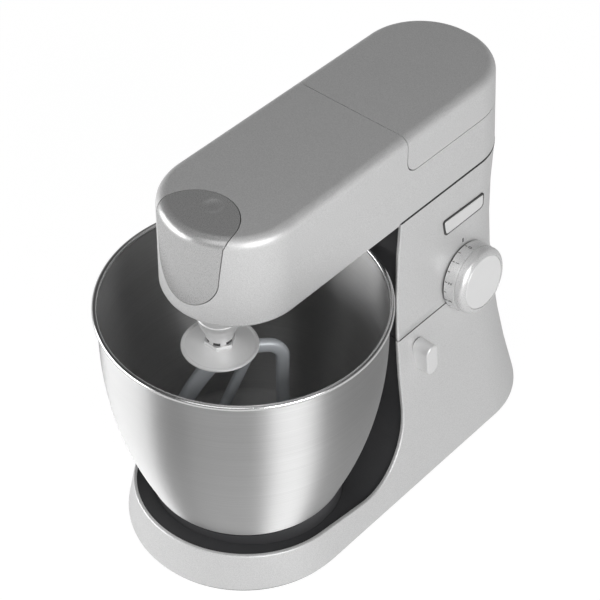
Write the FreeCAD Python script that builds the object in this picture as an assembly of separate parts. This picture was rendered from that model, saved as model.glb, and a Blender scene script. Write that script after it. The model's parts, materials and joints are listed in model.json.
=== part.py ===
# Stand mixer with a tilting head, a bowl and a planetary tool drive.
# Sizes are in mm. The tool axis stands at x = 0, y = 0; the front is -Y, the knob side is +X.
import FreeCAD
import Part
import math
import os

V = FreeCAD.Vector

# Body outline
FOOT_H = 4.0
FEET_R = 14.0
BASE_HALF = 104.0
BASE_FRONT = -107.3
BASE_FRONT_DRAFT = 0.12
BASE_REAR = 311.5
BASE_CORNER = 84.0
NECK_Z = 278.0
NECK_HALF = 60.8
NECK_REAR = 287.0
NECK_CORNER = 55.0
STATION_STEP = 40.0
BODY_WALL = 3.0
EDGE_ROUND = 1.8
HEAD_TOP = 360.5
HEAD_FRONT = -69.0
HEAD_TOP_HALF = 59.6
HEAD_TOP_FRONT = -68.0
HEAD_TOP_REAR = 282.5
HEAD_TOP_CORNER = 58.0
HEAD_ROUND = 9.0
HEAD_WALL = 2.5

# Seams and fits
FIT = 0.3
SEAM_GAP = 1.2
COVER_GAP = 0.7
RUN = 0.05
TURN_GAP = 0.4
SEAM_Z = 154.5
HOUSING_TOP = NECK_Z - 1.7

# Front sweep from the deck up the column
SWEEP_R = 62.0
SWEEP_BACK = 9.5
SWEEP_Z = 89.7
RAMP_DEG = 6.1
LEAN_DEG = 3.7
LINER_SET = 2.0
LINER_T = 3.0

# Tilt hinge
HINGE_Y = 255.0
HINGE_Z = 166.0
KNUCKLE_R = 39.0
PIN_R = 5.0
BUSH_WALL = 2.5
LUG_X0 = 16.0
LUG_T = 8.0
LUG_R = 13.0
ARM_GAP = 1.0
ARM_T = 8.0
ARM_R = 12.0
LEG_FRONT = 52.0
LEG_BACK = 20.0
LEG_BEND_Z = 100.0
FLANGE_SIDE = 8.0
FLANGE_T = 6.0

# Bowl
BOWL_R = 119.0
BOWL_TOP = 243.2
BEAD_R = 2.3
BEAD_OUT = 1.2
BOWL_ARC_R = 371.0
BOWL_ARC_Z = 205.0
BOWL_BOTTOM = 50.0
BOWL_CORNER = 6.0
BOWL_WALL = 1.2
SEAT_OUT_R = 84.0
SEAT_IN_R = 76.0
SEAT_TOP = 48.0
SEAT_GROOVE_R = 80.0
SEAT_GROOVE_TOP = 45.0
SEAT_FLOOR_T = 3.0
FOOT_RING_IN_R = 69.0
LUG_COUNT = 3
LUG_HALF_DEG = 11.0
LUG_H = 4.0

# Tool drive
TOOL_OFFSET = 40.0
TOOL_DEG = -75.5
MODULE = 2.0
PRESSURE_DEG = 25.0
BACKLASH = 0.24
ADDENDUM = 0.75 * MODULE
DEDENDUM = 1.1 * MODULE
RING_TEETH = 52
PLANET_TEETH = 12
MAIN_TEETH = 50
PINION_TEETH = 12
RING_OUT_R = 57.5
HUB_R = 49.5
HUB_Z = 266.0
HUB_TOP = 279.5
HUB_SHAFT_R = 9.0
HUB_BOSS_R = 14.0
SPINDLE_R = 6.0
SPINDLE_BUSH_R = 9.0
TRAY_Z = 274.5
TRAY_LIP_TOP = 277.6
TRAY_TOP = 281.0
RING_TOP = 294.5
PLATE_T = 4.0
MAIN_Z = 300.0
MAIN_H = 10.0
BRIDGE_Z = 312.0
BELT_Z = 318.0
PULLEY_H = 14.0
FLANGE_H = 1.2
DRIVE_R = 5.0
BEARING_R = 11.0
HUB_BEARING_R = 15.0
PULLEY_R = 42.0
MOTOR_PULLEY_R = 10.5
BELT_T = 2.0
BELT_FIT = 0.3

# Motor
MOTOR_Y = 205.0
MOTOR_HALF_X = 36.0
MOTOR_HALF_Y = 34.0
STATOR_Z = 192.0
STATOR_TOP = 242.0
ROTOR_R = 26.5
AIR_GAP = 0.9
COIL_H = 7.0
COIL_R = 35.0
BRACKET_Z = 166.0
BRACKET_T = 6.0
MOTOR_SHAFT_R = 5.0
COMMUTATOR_R = 12.0
FAN_Z = 252.0
FAN_H = 10.0
FAN_R = 33.0
FAN_BLADES = 9
BOLT_R = 3.0
BRUSH_L = 18.0
BRUSH_W = 10.0
CHASSIS_Z = 268.0
BOARD_Y = 150.0
BOARD_Z = 190.0
BOARD_L = 46.0
BOARD_H = 50.0
BOARD_T = 1.6
BOARD_STAND = 4.0
POST_R = 3.0
POST_INSET = 6.0

# Outlets on the head
REAR_COVER_Y = 130.5
REAR_COVER_Z = 324.5
REAR_COVER_CORNER = 13.0
DECK_Z = 337.0
DECK_T = 3.0
DECK_SKIRT = 16.0
NOSE_CAP_Y = -52.0
NOSE_CAP_R = 35.0
NOSE_BLEND = 2.5
NOSE_TONGUE_R = 31.0
NOSE_TONGUE_Z = 320.0
DIMPLE_Y = -30.5
DIMPLE_R = 9.5
DIMPLE_DEPTH = 1.3
RECESS_T = 2.0
OUTLET_Z = 333.0
OUTLET_R = 13.0

# Knob and lever
KNOB_Y = 209.6
KNOB_Z = 170.2
KNOB_R = 31.5
KNOB_FACE_R = 25.2
KNOB_LENGTH = 22.5
KNOB_LIFT = 1.9
KNOB_BAND = 13.0
KNOB_SHAFT_R = 4.0
KNOB_BOSS_R = 15.5
BADGE_Y = 182.0
BADGE_Z = 228.0
BADGE_L = 54.0
BADGE_H = 15.0
BADGE_T = 1.6
LEVER_BACK = 91.3
LEVER_Z = 127.0
LEVER_W = 14.3
LEVER_H = 34.0
LEVER_DEPTH = 12.0
LEVER_GAP = 1.0
LEVER_LEAN_DEG = 7.0
LEVER_AXIS_UP = 6.0
LEVER_SHAFT_R = 4.0
CAM_X = 46.0
CAM_T = 6.0

# Tool
SOCKET_TOP_R = 17.4
SOCKET_END_R = 11.0
SOCKET_END_Z = 238.0
NUT_ACROSS = 23.0
NUT_H = 7.0
DISC_R = 31.6
DISC_T = 1.5
DISC_DISH = 2.5
BEATER_BAR_R = 5.6
BEATER_STRUT_R = 4.2
BEATER_DEG = 52.0
BEATER_PATH = [
    (36.0, 219.7), (44.0, 217.6), (49.6, 211.0), (50.7, 203.0), (50.7, 140.0),
    (47.2, 105.5), (39.0, 80.2), (26.6, 68.3), (9.0, 63.3), (-9.0, 63.3),
    (-26.6, 68.3), (-37.5, 80.2), (-45.2, 105.5), (-48.7, 132.0),
]

DISC_TOP = SOCKET_END_Z - NUT_H
BOWL_RIM_R = BOWL_R + BEAD_OUT + BEAD_R
SWEEP_Y = BOWL_RIM_R - SWEEP_BACK - SWEEP_R
CENTRE_Y = (BASE_REAR - BOWL_RIM_R) / 2.0
DRIVE_Y = (MAIN_TEETH + PINION_TEETH) * MODULE / 2.0
TOOL_X = TOOL_OFFSET * math.cos(math.radians(TOOL_DEG))
TOOL_Y = TOOL_OFFSET * math.sin(math.radians(TOOL_DEG))
LEVER_Y = SWEEP_Y + LEVER_BACK
WIDE = 2.0 * BASE_HALF


def cyl(r, z0, z1, x=0.0, y=0.0):
    return Part.makeCylinder(r, z1 - z0, V(x, y, z0))


def cyl_x(r, x0, x1, y, z):
    return Part.makeCylinder(r, x1 - x0, V(x0, y, z), V(1, 0, 0))


def tube(r_in, r_out, z0, z1, x=0.0, y=0.0):
    return cyl(r_out, z0, z1, x, y).cut(cyl(r_in, z0, z1, x, y))


def tube_x(r_in, r_out, x0, x1, y, z):
    return cyl_x(r_out, x0, x1, y, z).cut(cyl_x(r_in, x0, x1, y, z))


def box(x0, x1, y0, y1, z0, z1):
    return Part.makeBox(x1 - x0, y1 - y0, z1 - z0, V(x0, y0, z0))


def prism_x(points, x0, x1):
    ring = [V(x0, y, z) for y, z in points]
    return Part.Face(Part.makePolygon(ring + ring[:1])).extrude(V(x1 - x0, 0, 0))


def prism_z(points, z0, z1):
    ring = [V(x, y, z0) for x, y in points]
    return Part.Face(Part.makePolygon(ring + ring[:1])).extrude(V(0, 0, z1 - z0))


def turned(points, x=0.0, y=0.0):
    ring = [V(x + r, y, z) for r, z in points]
    face = Part.Face(Part.makePolygon(ring + ring[:1]))
    return face.revolve(V(x, y, 0), V(0, 0, 1), 360)


def fused(shapes):
    return shapes[0].fuse(shapes[1:]).removeSplitter()


def arc(a, b, c):
    return Part.Arc(a, b, c).toShape()


def line(a, b):
    return Part.LineSegment(a, b).toShape()


def both_sides(shape):
    return [shape, shape.mirror(V(0, 0, 0), V(1, 0, 0))]


# Closed outline: half-round front, straight sides, two rounded rear corners
def outline(half, front, rear, corner, z):
    c = math.sqrt(0.5)
    mid = front + half
    back = rear - corner
    right = V(half, mid, z)
    nose = V(0, front, z)
    left = V(-half, mid, z)
    left_back = V(-half, back, z)
    rear_left = V(corner - half, rear, z)
    rear_right = V(half - corner, rear, z)
    right_back = V(half, back, z)
    return Part.Wire([
        arc(right, V(half * c, mid - half * c, z), nose),
        arc(nose, V(-half * c, mid - half * c, z), left),
        line(left, left_back),
        arc(left_back, V(corner - half - corner * c, back + corner * c, z), rear_left),
        line(rear_left, rear_right),
        arc(rear_right, V(half - corner + corner * c, back + corner * c, z), right_back),
        line(right_back, right),
    ])


def flare(z):
    return (NECK_Z - z) / (NECK_Z - FOOT_H)


def half_at(z):
    return NECK_HALF + (BASE_HALF - NECK_HALF) * flare(z) ** 2


def rear_at(z):
    return NECK_REAR + (BASE_REAR - NECK_REAR) * flare(z) ** 2


def body_wire(z, inset):
    corner = NECK_CORNER + (BASE_CORNER - NECK_CORNER) * flare(z)
    front = BASE_FRONT + BASE_FRONT_DRAFT * (z - FOOT_H)
    return outline(half_at(z) - inset, front + inset, rear_at(z) - inset, corner - inset, z)


# Flared base and column between two heights, moved in by inset
def body(z0, z1, inset):
    count = max(1, math.ceil((z1 - z0) / STATION_STEP))
    wires = [body_wire(z0 + (z1 - z0) * i / count, inset) for i in range(count + 1)]
    return Part.makeLoft(wires, True, True)


def head_wire(z, inset):
    t = (z - NECK_Z) / (HEAD_TOP - NECK_Z)
    half = NECK_HALF + (HEAD_TOP_HALF - NECK_HALF) * t
    front = HEAD_FRONT + (HEAD_TOP_FRONT - HEAD_FRONT) * t
    rear = NECK_REAR + (HEAD_TOP_REAR - NECK_REAR) * t
    corner = NECK_CORNER + (HEAD_TOP_CORNER - NECK_CORNER) * t
    return outline(half - inset, front + inset, rear - inset, corner - inset, z)


# Slice of the head volume with plain ends
def head_slice(z0, z1, inset):
    return Part.makeLoft([head_wire(z0, inset), head_wire(z1, inset)], True, True)


# Head volume with its rounded top edge
def head(z0, inset):
    top = HEAD_TOP - inset
    solid = head_slice(z0, top, inset)
    rim = [e for e in solid.Edges if e.BoundBox.ZMin > top - 0.01]
    return solid.makeFillet(HEAD_ROUND - inset, rim)


# Space in front of the column and above the deck, moved into the body by depth
def sweep(depth):
    r = SWEEP_R + depth
    ramp = math.radians(RAMP_DEG)
    lean = math.radians(LEAN_DEG)
    far = 2.0 * WIDE

    def at(angle):
        return V(-WIDE, SWEEP_Y + r * math.cos(angle), SWEEP_Z + r * math.sin(angle))

    low = at(-math.pi / 2 - ramp)
    high = at(-lean)
    middle = at((-math.pi / 2 - ramp - lean) / 2)
    front = low + V(0, -far * math.cos(ramp), far * math.sin(ramp))
    top = high + V(0, far * math.sin(lean), far * math.cos(lean))
    corner = V(-WIDE, front.y, top.z)
    wire = Part.Wire([
        line(front, low), arc(low, middle, high), line(high, top), line(top, corner), line(corner, front),
    ])
    return Part.Face(wire).extrude(V(2 * WIDE, 0, 0))


# Rounds the outer edge that the front sweep leaves on a shell
def swept(shell, outer):
    cutter = sweep(0)
    shell = shell.cut(cutter)
    skins = [outer.Shells[0], cutter.Shells[0]]
    rim = []
    for edge in shell.Edges:
        a, b = edge.ParameterRange
        spots = [Part.Vertex(edge.valueAt(a + (b - a) * t)) for t in (0.15, 0.5, 0.85)]
        if all(spot.distToShape(skin)[0] < 0.02 for spot in spots for skin in skins):
            rim.append(edge)
    return shell.makeFillet(EDGE_ROUND, rim)


def sweep_band():
    return sweep(LINER_SET + LINER_T).cut(sweep(LINER_SET))


def knuckle(r):
    return cyl_x(r, -WIDE, WIDE, HINGE_Y, HINGE_Z)


# Knob pieces are drawn up +Z and set on the side wall, square to it
def on_knob(shape):
    slope = 2 * (BASE_HALF - NECK_HALF) * flare(KNOB_Z) / (NECK_Z - FOOT_H)
    turn = FreeCAD.Rotation(V(0, 0, 1), V(1, 0, slope))
    place = FreeCAD.Placement(V(half_at(KNOB_Z), KNOB_Y, KNOB_Z), turn)
    moved = shape.copy()
    moved.Placement = place
    return moved


def involute(a):
    return math.tan(a) - a


# Toothed outline about (x, y) with one tooth centred on phase_deg
def gear_wire(teeth, out, back, slack, phase_deg, x, y, z):
    pitch_r = teeth * MODULE / 2
    base_r = pitch_r * math.cos(math.radians(PRESSURE_DEG))
    root_r = pitch_r - back
    tip_r = pitch_r + out
    base_half = math.pi / (2 * teeth) - slack / (2 * pitch_r) + involute(math.radians(PRESSURE_DEG))
    start = max(base_r, root_r)
    radii = [start + (tip_r - start) * i / 3 for i in range(4)]
    flank = [(r, base_half - involute(math.acos(min(1.0, base_r / r)))) for r in radii]
    if root_r < base_r:
        flank.insert(0, (root_r, base_half))
    points = []
    for i in range(teeth):
        mid = math.radians(phase_deg) + 2 * math.pi * i / teeth
        side = [(r, mid - a) for r, a in flank] + [(r, mid + a) for r, a in reversed(flank)]
        points += [V(x + r * math.cos(a), y + r * math.sin(a), z) for r, a in side]
    return Part.makePolygon(points + points[:1])


def spur(teeth, phase_deg, hole_r, z0, height, x, y):
    wire = gear_wire(teeth, ADDENDUM, DEDENDUM, BACKLASH, phase_deg, x, y, z0)
    blank = Part.Face(wire).extrude(V(0, 0, height))
    return blank.cut(cyl(hole_r, z0, z0 + height, x, y))


# Base and column

def lever_axis():
    lean = math.radians(LEVER_LEAN_DEG)
    return LEVER_Y + LEVER_AXIS_UP * math.sin(lean), LEVER_Z + LEVER_AXIS_UP * math.cos(lean)


def pedestal_shell():
    y, z = lever_axis()
    outer = body(FOOT_H, SEAM_Z - SEAM_GAP / 2, 0)
    shell = swept(outer.cut(body(FOOT_H - 1, SEAM_Z + 1, BODY_WALL)), outer)
    shell = shell.cut(knuckle(KNUCKLE_R + COVER_GAP))
    shell = shell.cut(cyl_x(LEVER_SHAFT_R + RUN, 0, WIDE, y, z))
    return shell.cut(gland_core())


def base_liner():
    skin = body(FOOT_H + 1, SEAM_Z - SEAM_GAP / 2, BODY_WALL + FIT).common(sweep_band())
    return skin.cut(cyl(SEAT_OUT_R + FIT, 0, SEAT_TOP + 10))


def base_plate():
    wire = body_wire(FOOT_H + BODY_WALL, BODY_WALL + FIT)
    return Part.Face(wire).extrude(V(0, 0, -BODY_WALL))


def foot_spots():
    return [(-52, -58), (52, -58), (-68, 130), (68, 130), (-52, 262), (52, 262)]


def rubber_feet():
    return Part.makeCompound([cyl(FEET_R, 0, FOOT_H, x, y) for x, y in foot_spots()])


def gland_core():
    z = FOOT_H + 36
    return Part.makeCylinder(9, 16, V(0, rear_at(z) - 10, z), V(0, 1, 0))


def cord_gland():
    z = FOOT_H + 36
    y = rear_at(z)
    flange = Part.makeCylinder(12, 6, V(0, y - 10, z), V(0, 1, 0)).cut(shell_outside())
    grommet = Part.makeCylinder(9, 14, V(0, y - 10, z), V(0, 1, 0))
    solid = fused([flange, grommet])
    return solid.cut(Part.makeCylinder(4, 20, V(0, y - 12, z), V(0, 1, 0)))


def shell_outside():
    everything = box(-WIDE, WIDE, -2 * WIDE, 2 * WIDE, FOOT_H, SEAM_Z - 1)
    return everything.cut(body(FOOT_H, SEAM_Z - 1, BODY_WALL + FIT))


def column_top_plate():
    z1 = SEAM_Z - 3.5
    plate = Part.Face(body_wire(z1, BODY_WALL + FIT)).extrude(V(0, 0, -3))
    plate = plate.cut(sweep(LINER_SET + LINER_T + FIT))
    plate = plate.cut(box(-WIDE, WIDE, HINGE_Y - KNUCKLE_R - 6, 2 * WIDE, 0, WIDE))
    return plate.cut(box(CAM_X - 3, CAM_X + CAM_T + 3, 0, LEVER_Y - 5, 0, WIDE))


def hinge_frame():
    x0 = LUG_X0 + LUG_T + ARM_GAP
    z0 = FOOT_H + BODY_WALL
    front = HINGE_Y - LEG_FRONT
    back = HINGE_Y - LEG_BACK
    leg = prism_x([
        (HINGE_Y - ARM_R, HINGE_Z), (HINGE_Y, HINGE_Z - ARM_R), (back, LEG_BEND_Z), (back, z0),
        (front, z0), (front, LEG_BEND_Z),
    ], x0, x0 + ARM_T)
    arm = leg.fuse(cyl_x(ARM_R, x0, x0 + ARM_T, HINGE_Y, HINGE_Z))
    arm = arm.cut(cyl_x(PIN_R, x0, x0 + ARM_T, HINGE_Y, HINGE_Z))
    x1 = x0 + ARM_T
    flange = box(-x1, x1, front - FLANGE_SIDE, back + FLANGE_SIDE, z0, z0 + FLANGE_T)
    return fused([flange] + both_sides(arm))


def hinge_pin():
    x1 = LUG_X0 + LUG_T + ARM_GAP + ARM_T + 2
    return cyl_x(PIN_R, -x1, x1, HINGE_Y, HINGE_Z)


def bush_r(shaft_r):
    return shaft_r + BUSH_WALL


def hinge_bushes():
    one = tube_x(PIN_R + RUN, bush_r(PIN_R), LUG_X0, LUG_X0 + LUG_T, HINGE_Y, HINGE_Z)
    return Part.makeCompound(both_sides(one))


# Lever

def lever_slot(grow):
    half = LEVER_W / 2 + grow
    reach = LEVER_H / 2 - LEVER_W / 2
    lean = math.radians(LEVER_LEAN_DEG)
    up = V(0, math.sin(lean), math.cos(lean))
    side = V(0, math.cos(lean), -math.sin(lean))
    mid = V(half_at(LEVER_Z) - 20, LEVER_Y, LEVER_Z)
    top = mid + up * reach
    low = mid - up * reach
    wire = Part.Wire([
        line(low + side * half, top + side * half),
        arc(top + side * half, top + up * half, top - side * half),
        line(top - side * half, low - side * half),
        arc(low - side * half, low - up * half, low + side * half),
    ])
    return Part.Face(wire).extrude(V(60, 0, 0))


def release_lever():
    z0 = LEVER_Z - LEVER_H
    z1 = LEVER_Z + LEVER_H
    tab = lever_slot(0).common(body(z0, z1, -LEVER_DEPTH))
    tab = tab.cut(body(z0, z1, -LEVER_GAP))
    return tab.cut(lever_shaft())


def lever_shaft():
    y, z = lever_axis()
    return cyl_x(LEVER_SHAFT_R, CAM_X - 6, half_at(z) + LEVER_DEPTH / 2, y, z)


def latch_cam():
    y, z = lever_axis()
    disc = cyl_x(9, CAM_X, CAM_X + CAM_T, y, z)
    toe = prism_x([(y - 9, z), (y, z - 9), (y - 4, z - 19), (y - 9, z - 19)], CAM_X, CAM_X + CAM_T)
    return fused([disc, toe]).cut(cyl_x(LEVER_SHAFT_R, 0, WIDE, y, z))


# Bowl

def bowl_radius(z, wall):
    return BOWL_R - BOWL_ARC_R + math.sqrt((BOWL_ARC_R - wall) ** 2 - (BOWL_ARC_Z - z) ** 2)


def bowl_solid(wall, top):
    low = BOWL_BOTTOM + wall
    bend = BOWL_BOTTOM + BOWL_CORNER
    edge = bowl_radius(bend, wall)
    corner = BOWL_CORNER - wall
    c = math.sqrt(0.5)
    a = V(0, 0, low)
    b = V(edge - corner, 0, low)
    d = V(edge, 0, bend)
    e = V(BOWL_R - wall, 0, BOWL_ARC_Z)
    f = V(BOWL_R - wall, 0, top)
    g = V(0, 0, top)
    knee = V(edge - corner + corner * c, 0, bend - corner * c)
    waist_z = (bend + BOWL_ARC_Z) / 2
    waist = V(bowl_radius(waist_z, wall), 0, waist_z)
    wire = Part.Wire([line(a, b), arc(b, knee, d), arc(d, waist, e), line(e, f), line(f, g), line(g, a)])
    return Part.Face(wire).revolve(V(0, 0, 0), V(0, 0, 1), 360)


def bowl():
    rim_z = BOWL_TOP - BEAD_R
    shell = bowl_solid(0, rim_z).cut(bowl_solid(BOWL_WALL, rim_z + 1))
    bead = Part.makeTorus(BOWL_RIM_R - BEAD_R, BEAD_R, V(0, 0, rim_z))
    return shell.fuse(bead)


def bowl_floor_z():
    return SEAT_GROOVE_TOP - LUG_H - 2 * FIT


def sector(r, half_deg, mid_deg, z0, z1):
    wedge = Part.makeCylinder(r, z1 - z0, V(0, 0, z0), V(0, 0, 1), 2 * half_deg)
    wedge.rotate(V(0, 0, 0), V(0, 0, 1), mid_deg - half_deg)
    return wedge


def bowl_foot():
    z0 = bowl_floor_z() + FIT
    ring = cyl(SEAT_IN_R - 2 * FIT, z0, BOWL_BOTTOM)
    lug_r = SEAT_GROOVE_R - 2 * FIT
    lugs = [sector(lug_r, LUG_HALF_DEG, 360 * i / LUG_COUNT, z0, z0 + LUG_H) for i in range(LUG_COUNT)]
    return fused([ring] + lugs).cut(cyl(FOOT_RING_IN_R, z0, BOWL_BOTTOM))


def bowl_seat():
    floor = bowl_floor_z()
    ring = tube(SEAT_IN_R, SEAT_OUT_R, FOOT_H + BODY_WALL, SEAT_TOP)
    ring = ring.cut(cyl(SEAT_GROOVE_R, floor, SEAT_GROOVE_TOP))
    entry = 360 / LUG_COUNT / 2
    for i in range(LUG_COUNT):
        mid = entry + 360 * i / LUG_COUNT
        ring = ring.cut(sector(SEAT_GROOVE_R, LUG_HALF_DEG + 2, mid, floor, SEAT_TOP + 1))
    return fused([ring, cyl(SEAT_GROOVE_R, floor - SEAT_FLOOR_T, floor)])


# Tilting column section

def housing_outside(inset):
    return body(HINGE_Z - KNUCKLE_R - 2, HOUSING_TOP, inset)


def motor_housing():
    outer = housing_outside(0)
    inner = body(HINGE_Z - KNUCKLE_R - 3, HOUSING_TOP + 1, BODY_WALL)
    above = box(-WIDE, WIDE, -2 * WIDE, 2 * WIDE, SEAM_Z + SEAM_GAP / 2, NECK_Z)
    shell = outer.cut(inner).common(above.fuse(knuckle(KNUCKLE_R)))
    shell = swept(shell, outer)
    boss = on_knob(cyl(KNOB_BOSS_R, -2 * BODY_WALL, KNOB_LIFT - 2 * FIT))
    shell = shell.fuse([boss] + [board_post(y, z) for y, z in board_spots()])
    return shell.cut(on_knob(cyl(KNOB_SHAFT_R + RUN, -WIDE / 4, WIDE / 4)))


def board_spots():
    ys = (BOARD_Y + POST_INSET, BOARD_Y + BOARD_L - POST_INSET)
    zs = (BOARD_Z + POST_INSET, BOARD_Z + BOARD_H - POST_INSET)
    return [(y, z) for z in zs for y in ys]


def board_x():
    return -NECK_HALF + BODY_WALL + BOARD_STAND


def board_post(y, z):
    return cyl_x(POST_R, -half_at(z) + BODY_WALL / 2, board_x(), y, z)


def control_board():
    x0 = board_x()
    x1 = x0 + BOARD_T
    y, z = BOARD_Y, BOARD_Z
    board = box(x0, x1, y, y + BOARD_L, z, z + BOARD_H)
    blocks = [box(x1, x1 + 9, y + 4, y + 16, z + 10, z + 40), box(x1, x1 + 6, y + 24, y + 40, z + 6, z + 22)]
    return fused([board] + blocks)


def column_panel():
    skin = body(SEAM_Z - 2, HOUSING_TOP, BODY_WALL + FIT).common(sweep_band())
    return skin.cut(box(-WIDE, WIDE, -WIDE, WIDE, 0, SEAM_Z + SEAM_GAP / 2))


def latch_keeper():
    plate = box(CAM_X - 5, CAM_X + CAM_T + 5, LEVER_Y - 45, LEVER_Y - 13, SEAM_Z + 2, SEAM_Z + 28)
    tongue = box(CAM_X, CAM_X + CAM_T, LEVER_Y - 45, LEVER_Y - 13, SEAM_Z - 12, SEAM_Z + 2)
    plate = plate.cut(sweep(LINER_SET + LINER_T))
    return fused([plate, tongue.cut(sweep(LINER_SET + LINER_T + 4))])


def chassis():
    wire = body_wire(CHASSIS_Z, BODY_WALL + FIT)
    plate = Part.Face(wire).extrude(V(0, 0, HOUSING_TOP - CHASSIS_Z))
    pad_wire = outline(NECK_HALF - 8, HEAD_FRONT, NECK_REAR - 8, NECK_CORNER - 8, HOUSING_TOP)
    pad = Part.Face(pad_wire).extrude(V(0, 0, TRAY_LIP_TOP - HOUSING_TOP))
    lug = box(LUG_X0, LUG_X0 + LUG_T, HINGE_Y - LUG_R, HINGE_Y + LUG_R, HINGE_Z, CHASSIS_Z)
    lug = lug.fuse(cyl_x(LUG_R, LUG_X0, LUG_X0 + LUG_T, HINGE_Y, HINGE_Z))
    frame = fused([plate, pad] + both_sides(lug))
    frame = frame.cut(sweep(LINER_SET + LINER_T + FIT))
    frame = frame.cut(knuckle(bush_r(PIN_R)))
    return frame.cut(cyl(BEARING_R, CHASSIS_Z - 1, TRAY_TOP, 0, MOTOR_Y))


# Motor

def motor_bolt_spots():
    x = MOTOR_HALF_X - 5
    y = MOTOR_HALF_Y - 5
    return [(sx * x, MOTOR_Y + sy * y) for sx in (-1, 1) for sy in (-1, 1)]


def motor_block(z0, z1):
    return box(-MOTOR_HALF_X, MOTOR_HALF_X, MOTOR_Y - MOTOR_HALF_Y, MOTOR_Y + MOTOR_HALF_Y, z0, z1)


def bolt_holes(shape):
    return shape.cut([cyl(BOLT_R, 0, 2 * WIDE, x, y) for x, y in motor_bolt_spots()])


def motor_stator():
    block = motor_block(STATOR_Z, STATOR_TOP)
    return bolt_holes(block.cut(cyl(ROTOR_R + AIR_GAP, STATOR_Z, STATOR_TOP, 0, MOTOR_Y)))


def field_coils():
    low = tube(ROTOR_R + 1.5, COIL_R, STATOR_Z - COIL_H, STATOR_Z, 0, MOTOR_Y)
    high = tube(ROTOR_R + 1.5, COIL_R, STATOR_TOP, STATOR_TOP + COIL_H, 0, MOTOR_Y)
    return Part.makeCompound([low, high])


def motor_bracket():
    z1 = BRACKET_Z + BRACKET_T
    plate = motor_block(BRACKET_Z, z1)
    rods = [cyl(BOLT_R, BRACKET_Z - 3, CHASSIS_Z, x, y) for x, y in motor_bolt_spots()]
    return fused([plate] + rods).cut(cyl(BEARING_R, BRACKET_Z, z1, 0, MOTOR_Y))


def motor_bearings():
    low = tube(MOTOR_SHAFT_R + RUN, BEARING_R, BRACKET_Z, BRACKET_Z + BRACKET_T, 0, MOTOR_Y)
    high = tube(MOTOR_SHAFT_R + RUN, BEARING_R, CHASSIS_Z, TRAY_LIP_TOP, 0, MOTOR_Y)
    return Part.makeCompound([low, high])


def brush_holders():
    x0 = COMMUTATOR_R + TURN_GAP
    y0 = MOTOR_Y - BRUSH_W / 2
    one = box(x0, x0 + BRUSH_L, y0, y0 + BRUSH_W, BRACKET_Z + BRACKET_T, STATOR_Z - COIL_H - 2)
    return Part.makeCompound(both_sides(one))


def motor_shaft():
    return cyl(MOTOR_SHAFT_R, BRACKET_Z - 2, DECK_Z + DECK_T + 12, 0, MOTOR_Y)


def rotor_core():
    core = cyl(ROTOR_R, STATOR_Z + 1, STATOR_TOP - 1, 0, MOTOR_Y)
    for i in range(12):
        slot = box(-1.2, 1.2, MOTOR_Y + ROTOR_R - 8, MOTOR_Y + ROTOR_R + 2, STATOR_Z, STATOR_TOP)
        slot.rotate(V(0, MOTOR_Y, 0), V(0, 0, 1), 30 * i)
        core = core.cut(slot)
    return core.cut(cyl(MOTOR_SHAFT_R, STATOR_Z, STATOR_TOP, 0, MOTOR_Y))


def commutator():
    return tube(MOTOR_SHAFT_R, COMMUTATOR_R, BRACKET_Z + BRACKET_T + 1, STATOR_Z - COIL_H - 1, 0, MOTOR_Y)


def motor_fan():
    pieces = [cyl(FAN_R, FAN_Z, FAN_Z + 1.5, 0, MOTOR_Y), cyl(10, FAN_Z, FAN_Z + FAN_H, 0, MOTOR_Y)]
    for i in range(FAN_BLADES):
        blade = box(-0.8, 0.8, MOTOR_Y + 8, MOTOR_Y + FAN_R - 1, FAN_Z + 1, FAN_Z + FAN_H)
        blade.rotate(V(0, MOTOR_Y, 0), V(0, 0, 1), 360 / FAN_BLADES * i)
        pieces.append(blade)
    return fused(pieces).cut(cyl(MOTOR_SHAFT_R, FAN_Z, FAN_Z + FAN_H, 0, MOTOR_Y))


def flanged_pulley(r, hole_r, y):
    lip = r + BELT_FIT + BELT_T + 1
    top = BELT_Z + PULLEY_H
    wheel = turned([
        (hole_r, BELT_Z), (lip, BELT_Z), (lip, BELT_Z + FLANGE_H), (r, BELT_Z + FLANGE_H),
        (r, top - FLANGE_H), (lip, top - FLANGE_H), (lip, top), (hole_r, top),
    ], 0, y)
    return wheel


def motor_pulley():
    return flanged_pulley(MOTOR_PULLEY_R, MOTOR_SHAFT_R, MOTOR_Y)


def drive_pulley():
    wheel = flanged_pulley(PULLEY_R, DRIVE_R, DRIVE_Y)
    mid = BELT_Z + PULLEY_H / 2
    top = tube(12, PULLEY_R - 5, mid + 2.5, BELT_Z + PULLEY_H, 0, DRIVE_Y)
    low = tube(12, PULLEY_R - 5, BELT_Z, mid - 2.5, 0, DRIVE_Y)
    wheel = wheel.cut([top, low])
    for i in range(5):
        hole = cyl(7, BELT_Z, BELT_Z + PULLEY_H, 0, DRIVE_Y + 24.5)
        hole.rotate(V(0, DRIVE_Y, 0), V(0, 0, 1), 72 * i)
        wheel = wheel.cut(hole)
    return wheel


# Plan outline of a band round the two pulleys
def belt_wire(grow, z):
    r1 = PULLEY_R + grow
    r2 = MOTOR_PULLEY_R + grow
    tilt = math.asin((r1 - r2) / (MOTOR_Y - DRIVE_Y))
    c = math.cos(tilt)
    s = math.sin(tilt)
    a = V(r1 * c, DRIVE_Y + r1 * s, z)
    b = V(r2 * c, MOTOR_Y + r2 * s, z)
    d = V(-r2 * c, MOTOR_Y + r2 * s, z)
    e = V(-r1 * c, DRIVE_Y + r1 * s, z)
    return Part.Wire([
        line(a, b), arc(b, V(0, MOTOR_Y + r2, z), d), line(d, e), arc(e, V(0, DRIVE_Y - r1, z), a),
    ])


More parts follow.
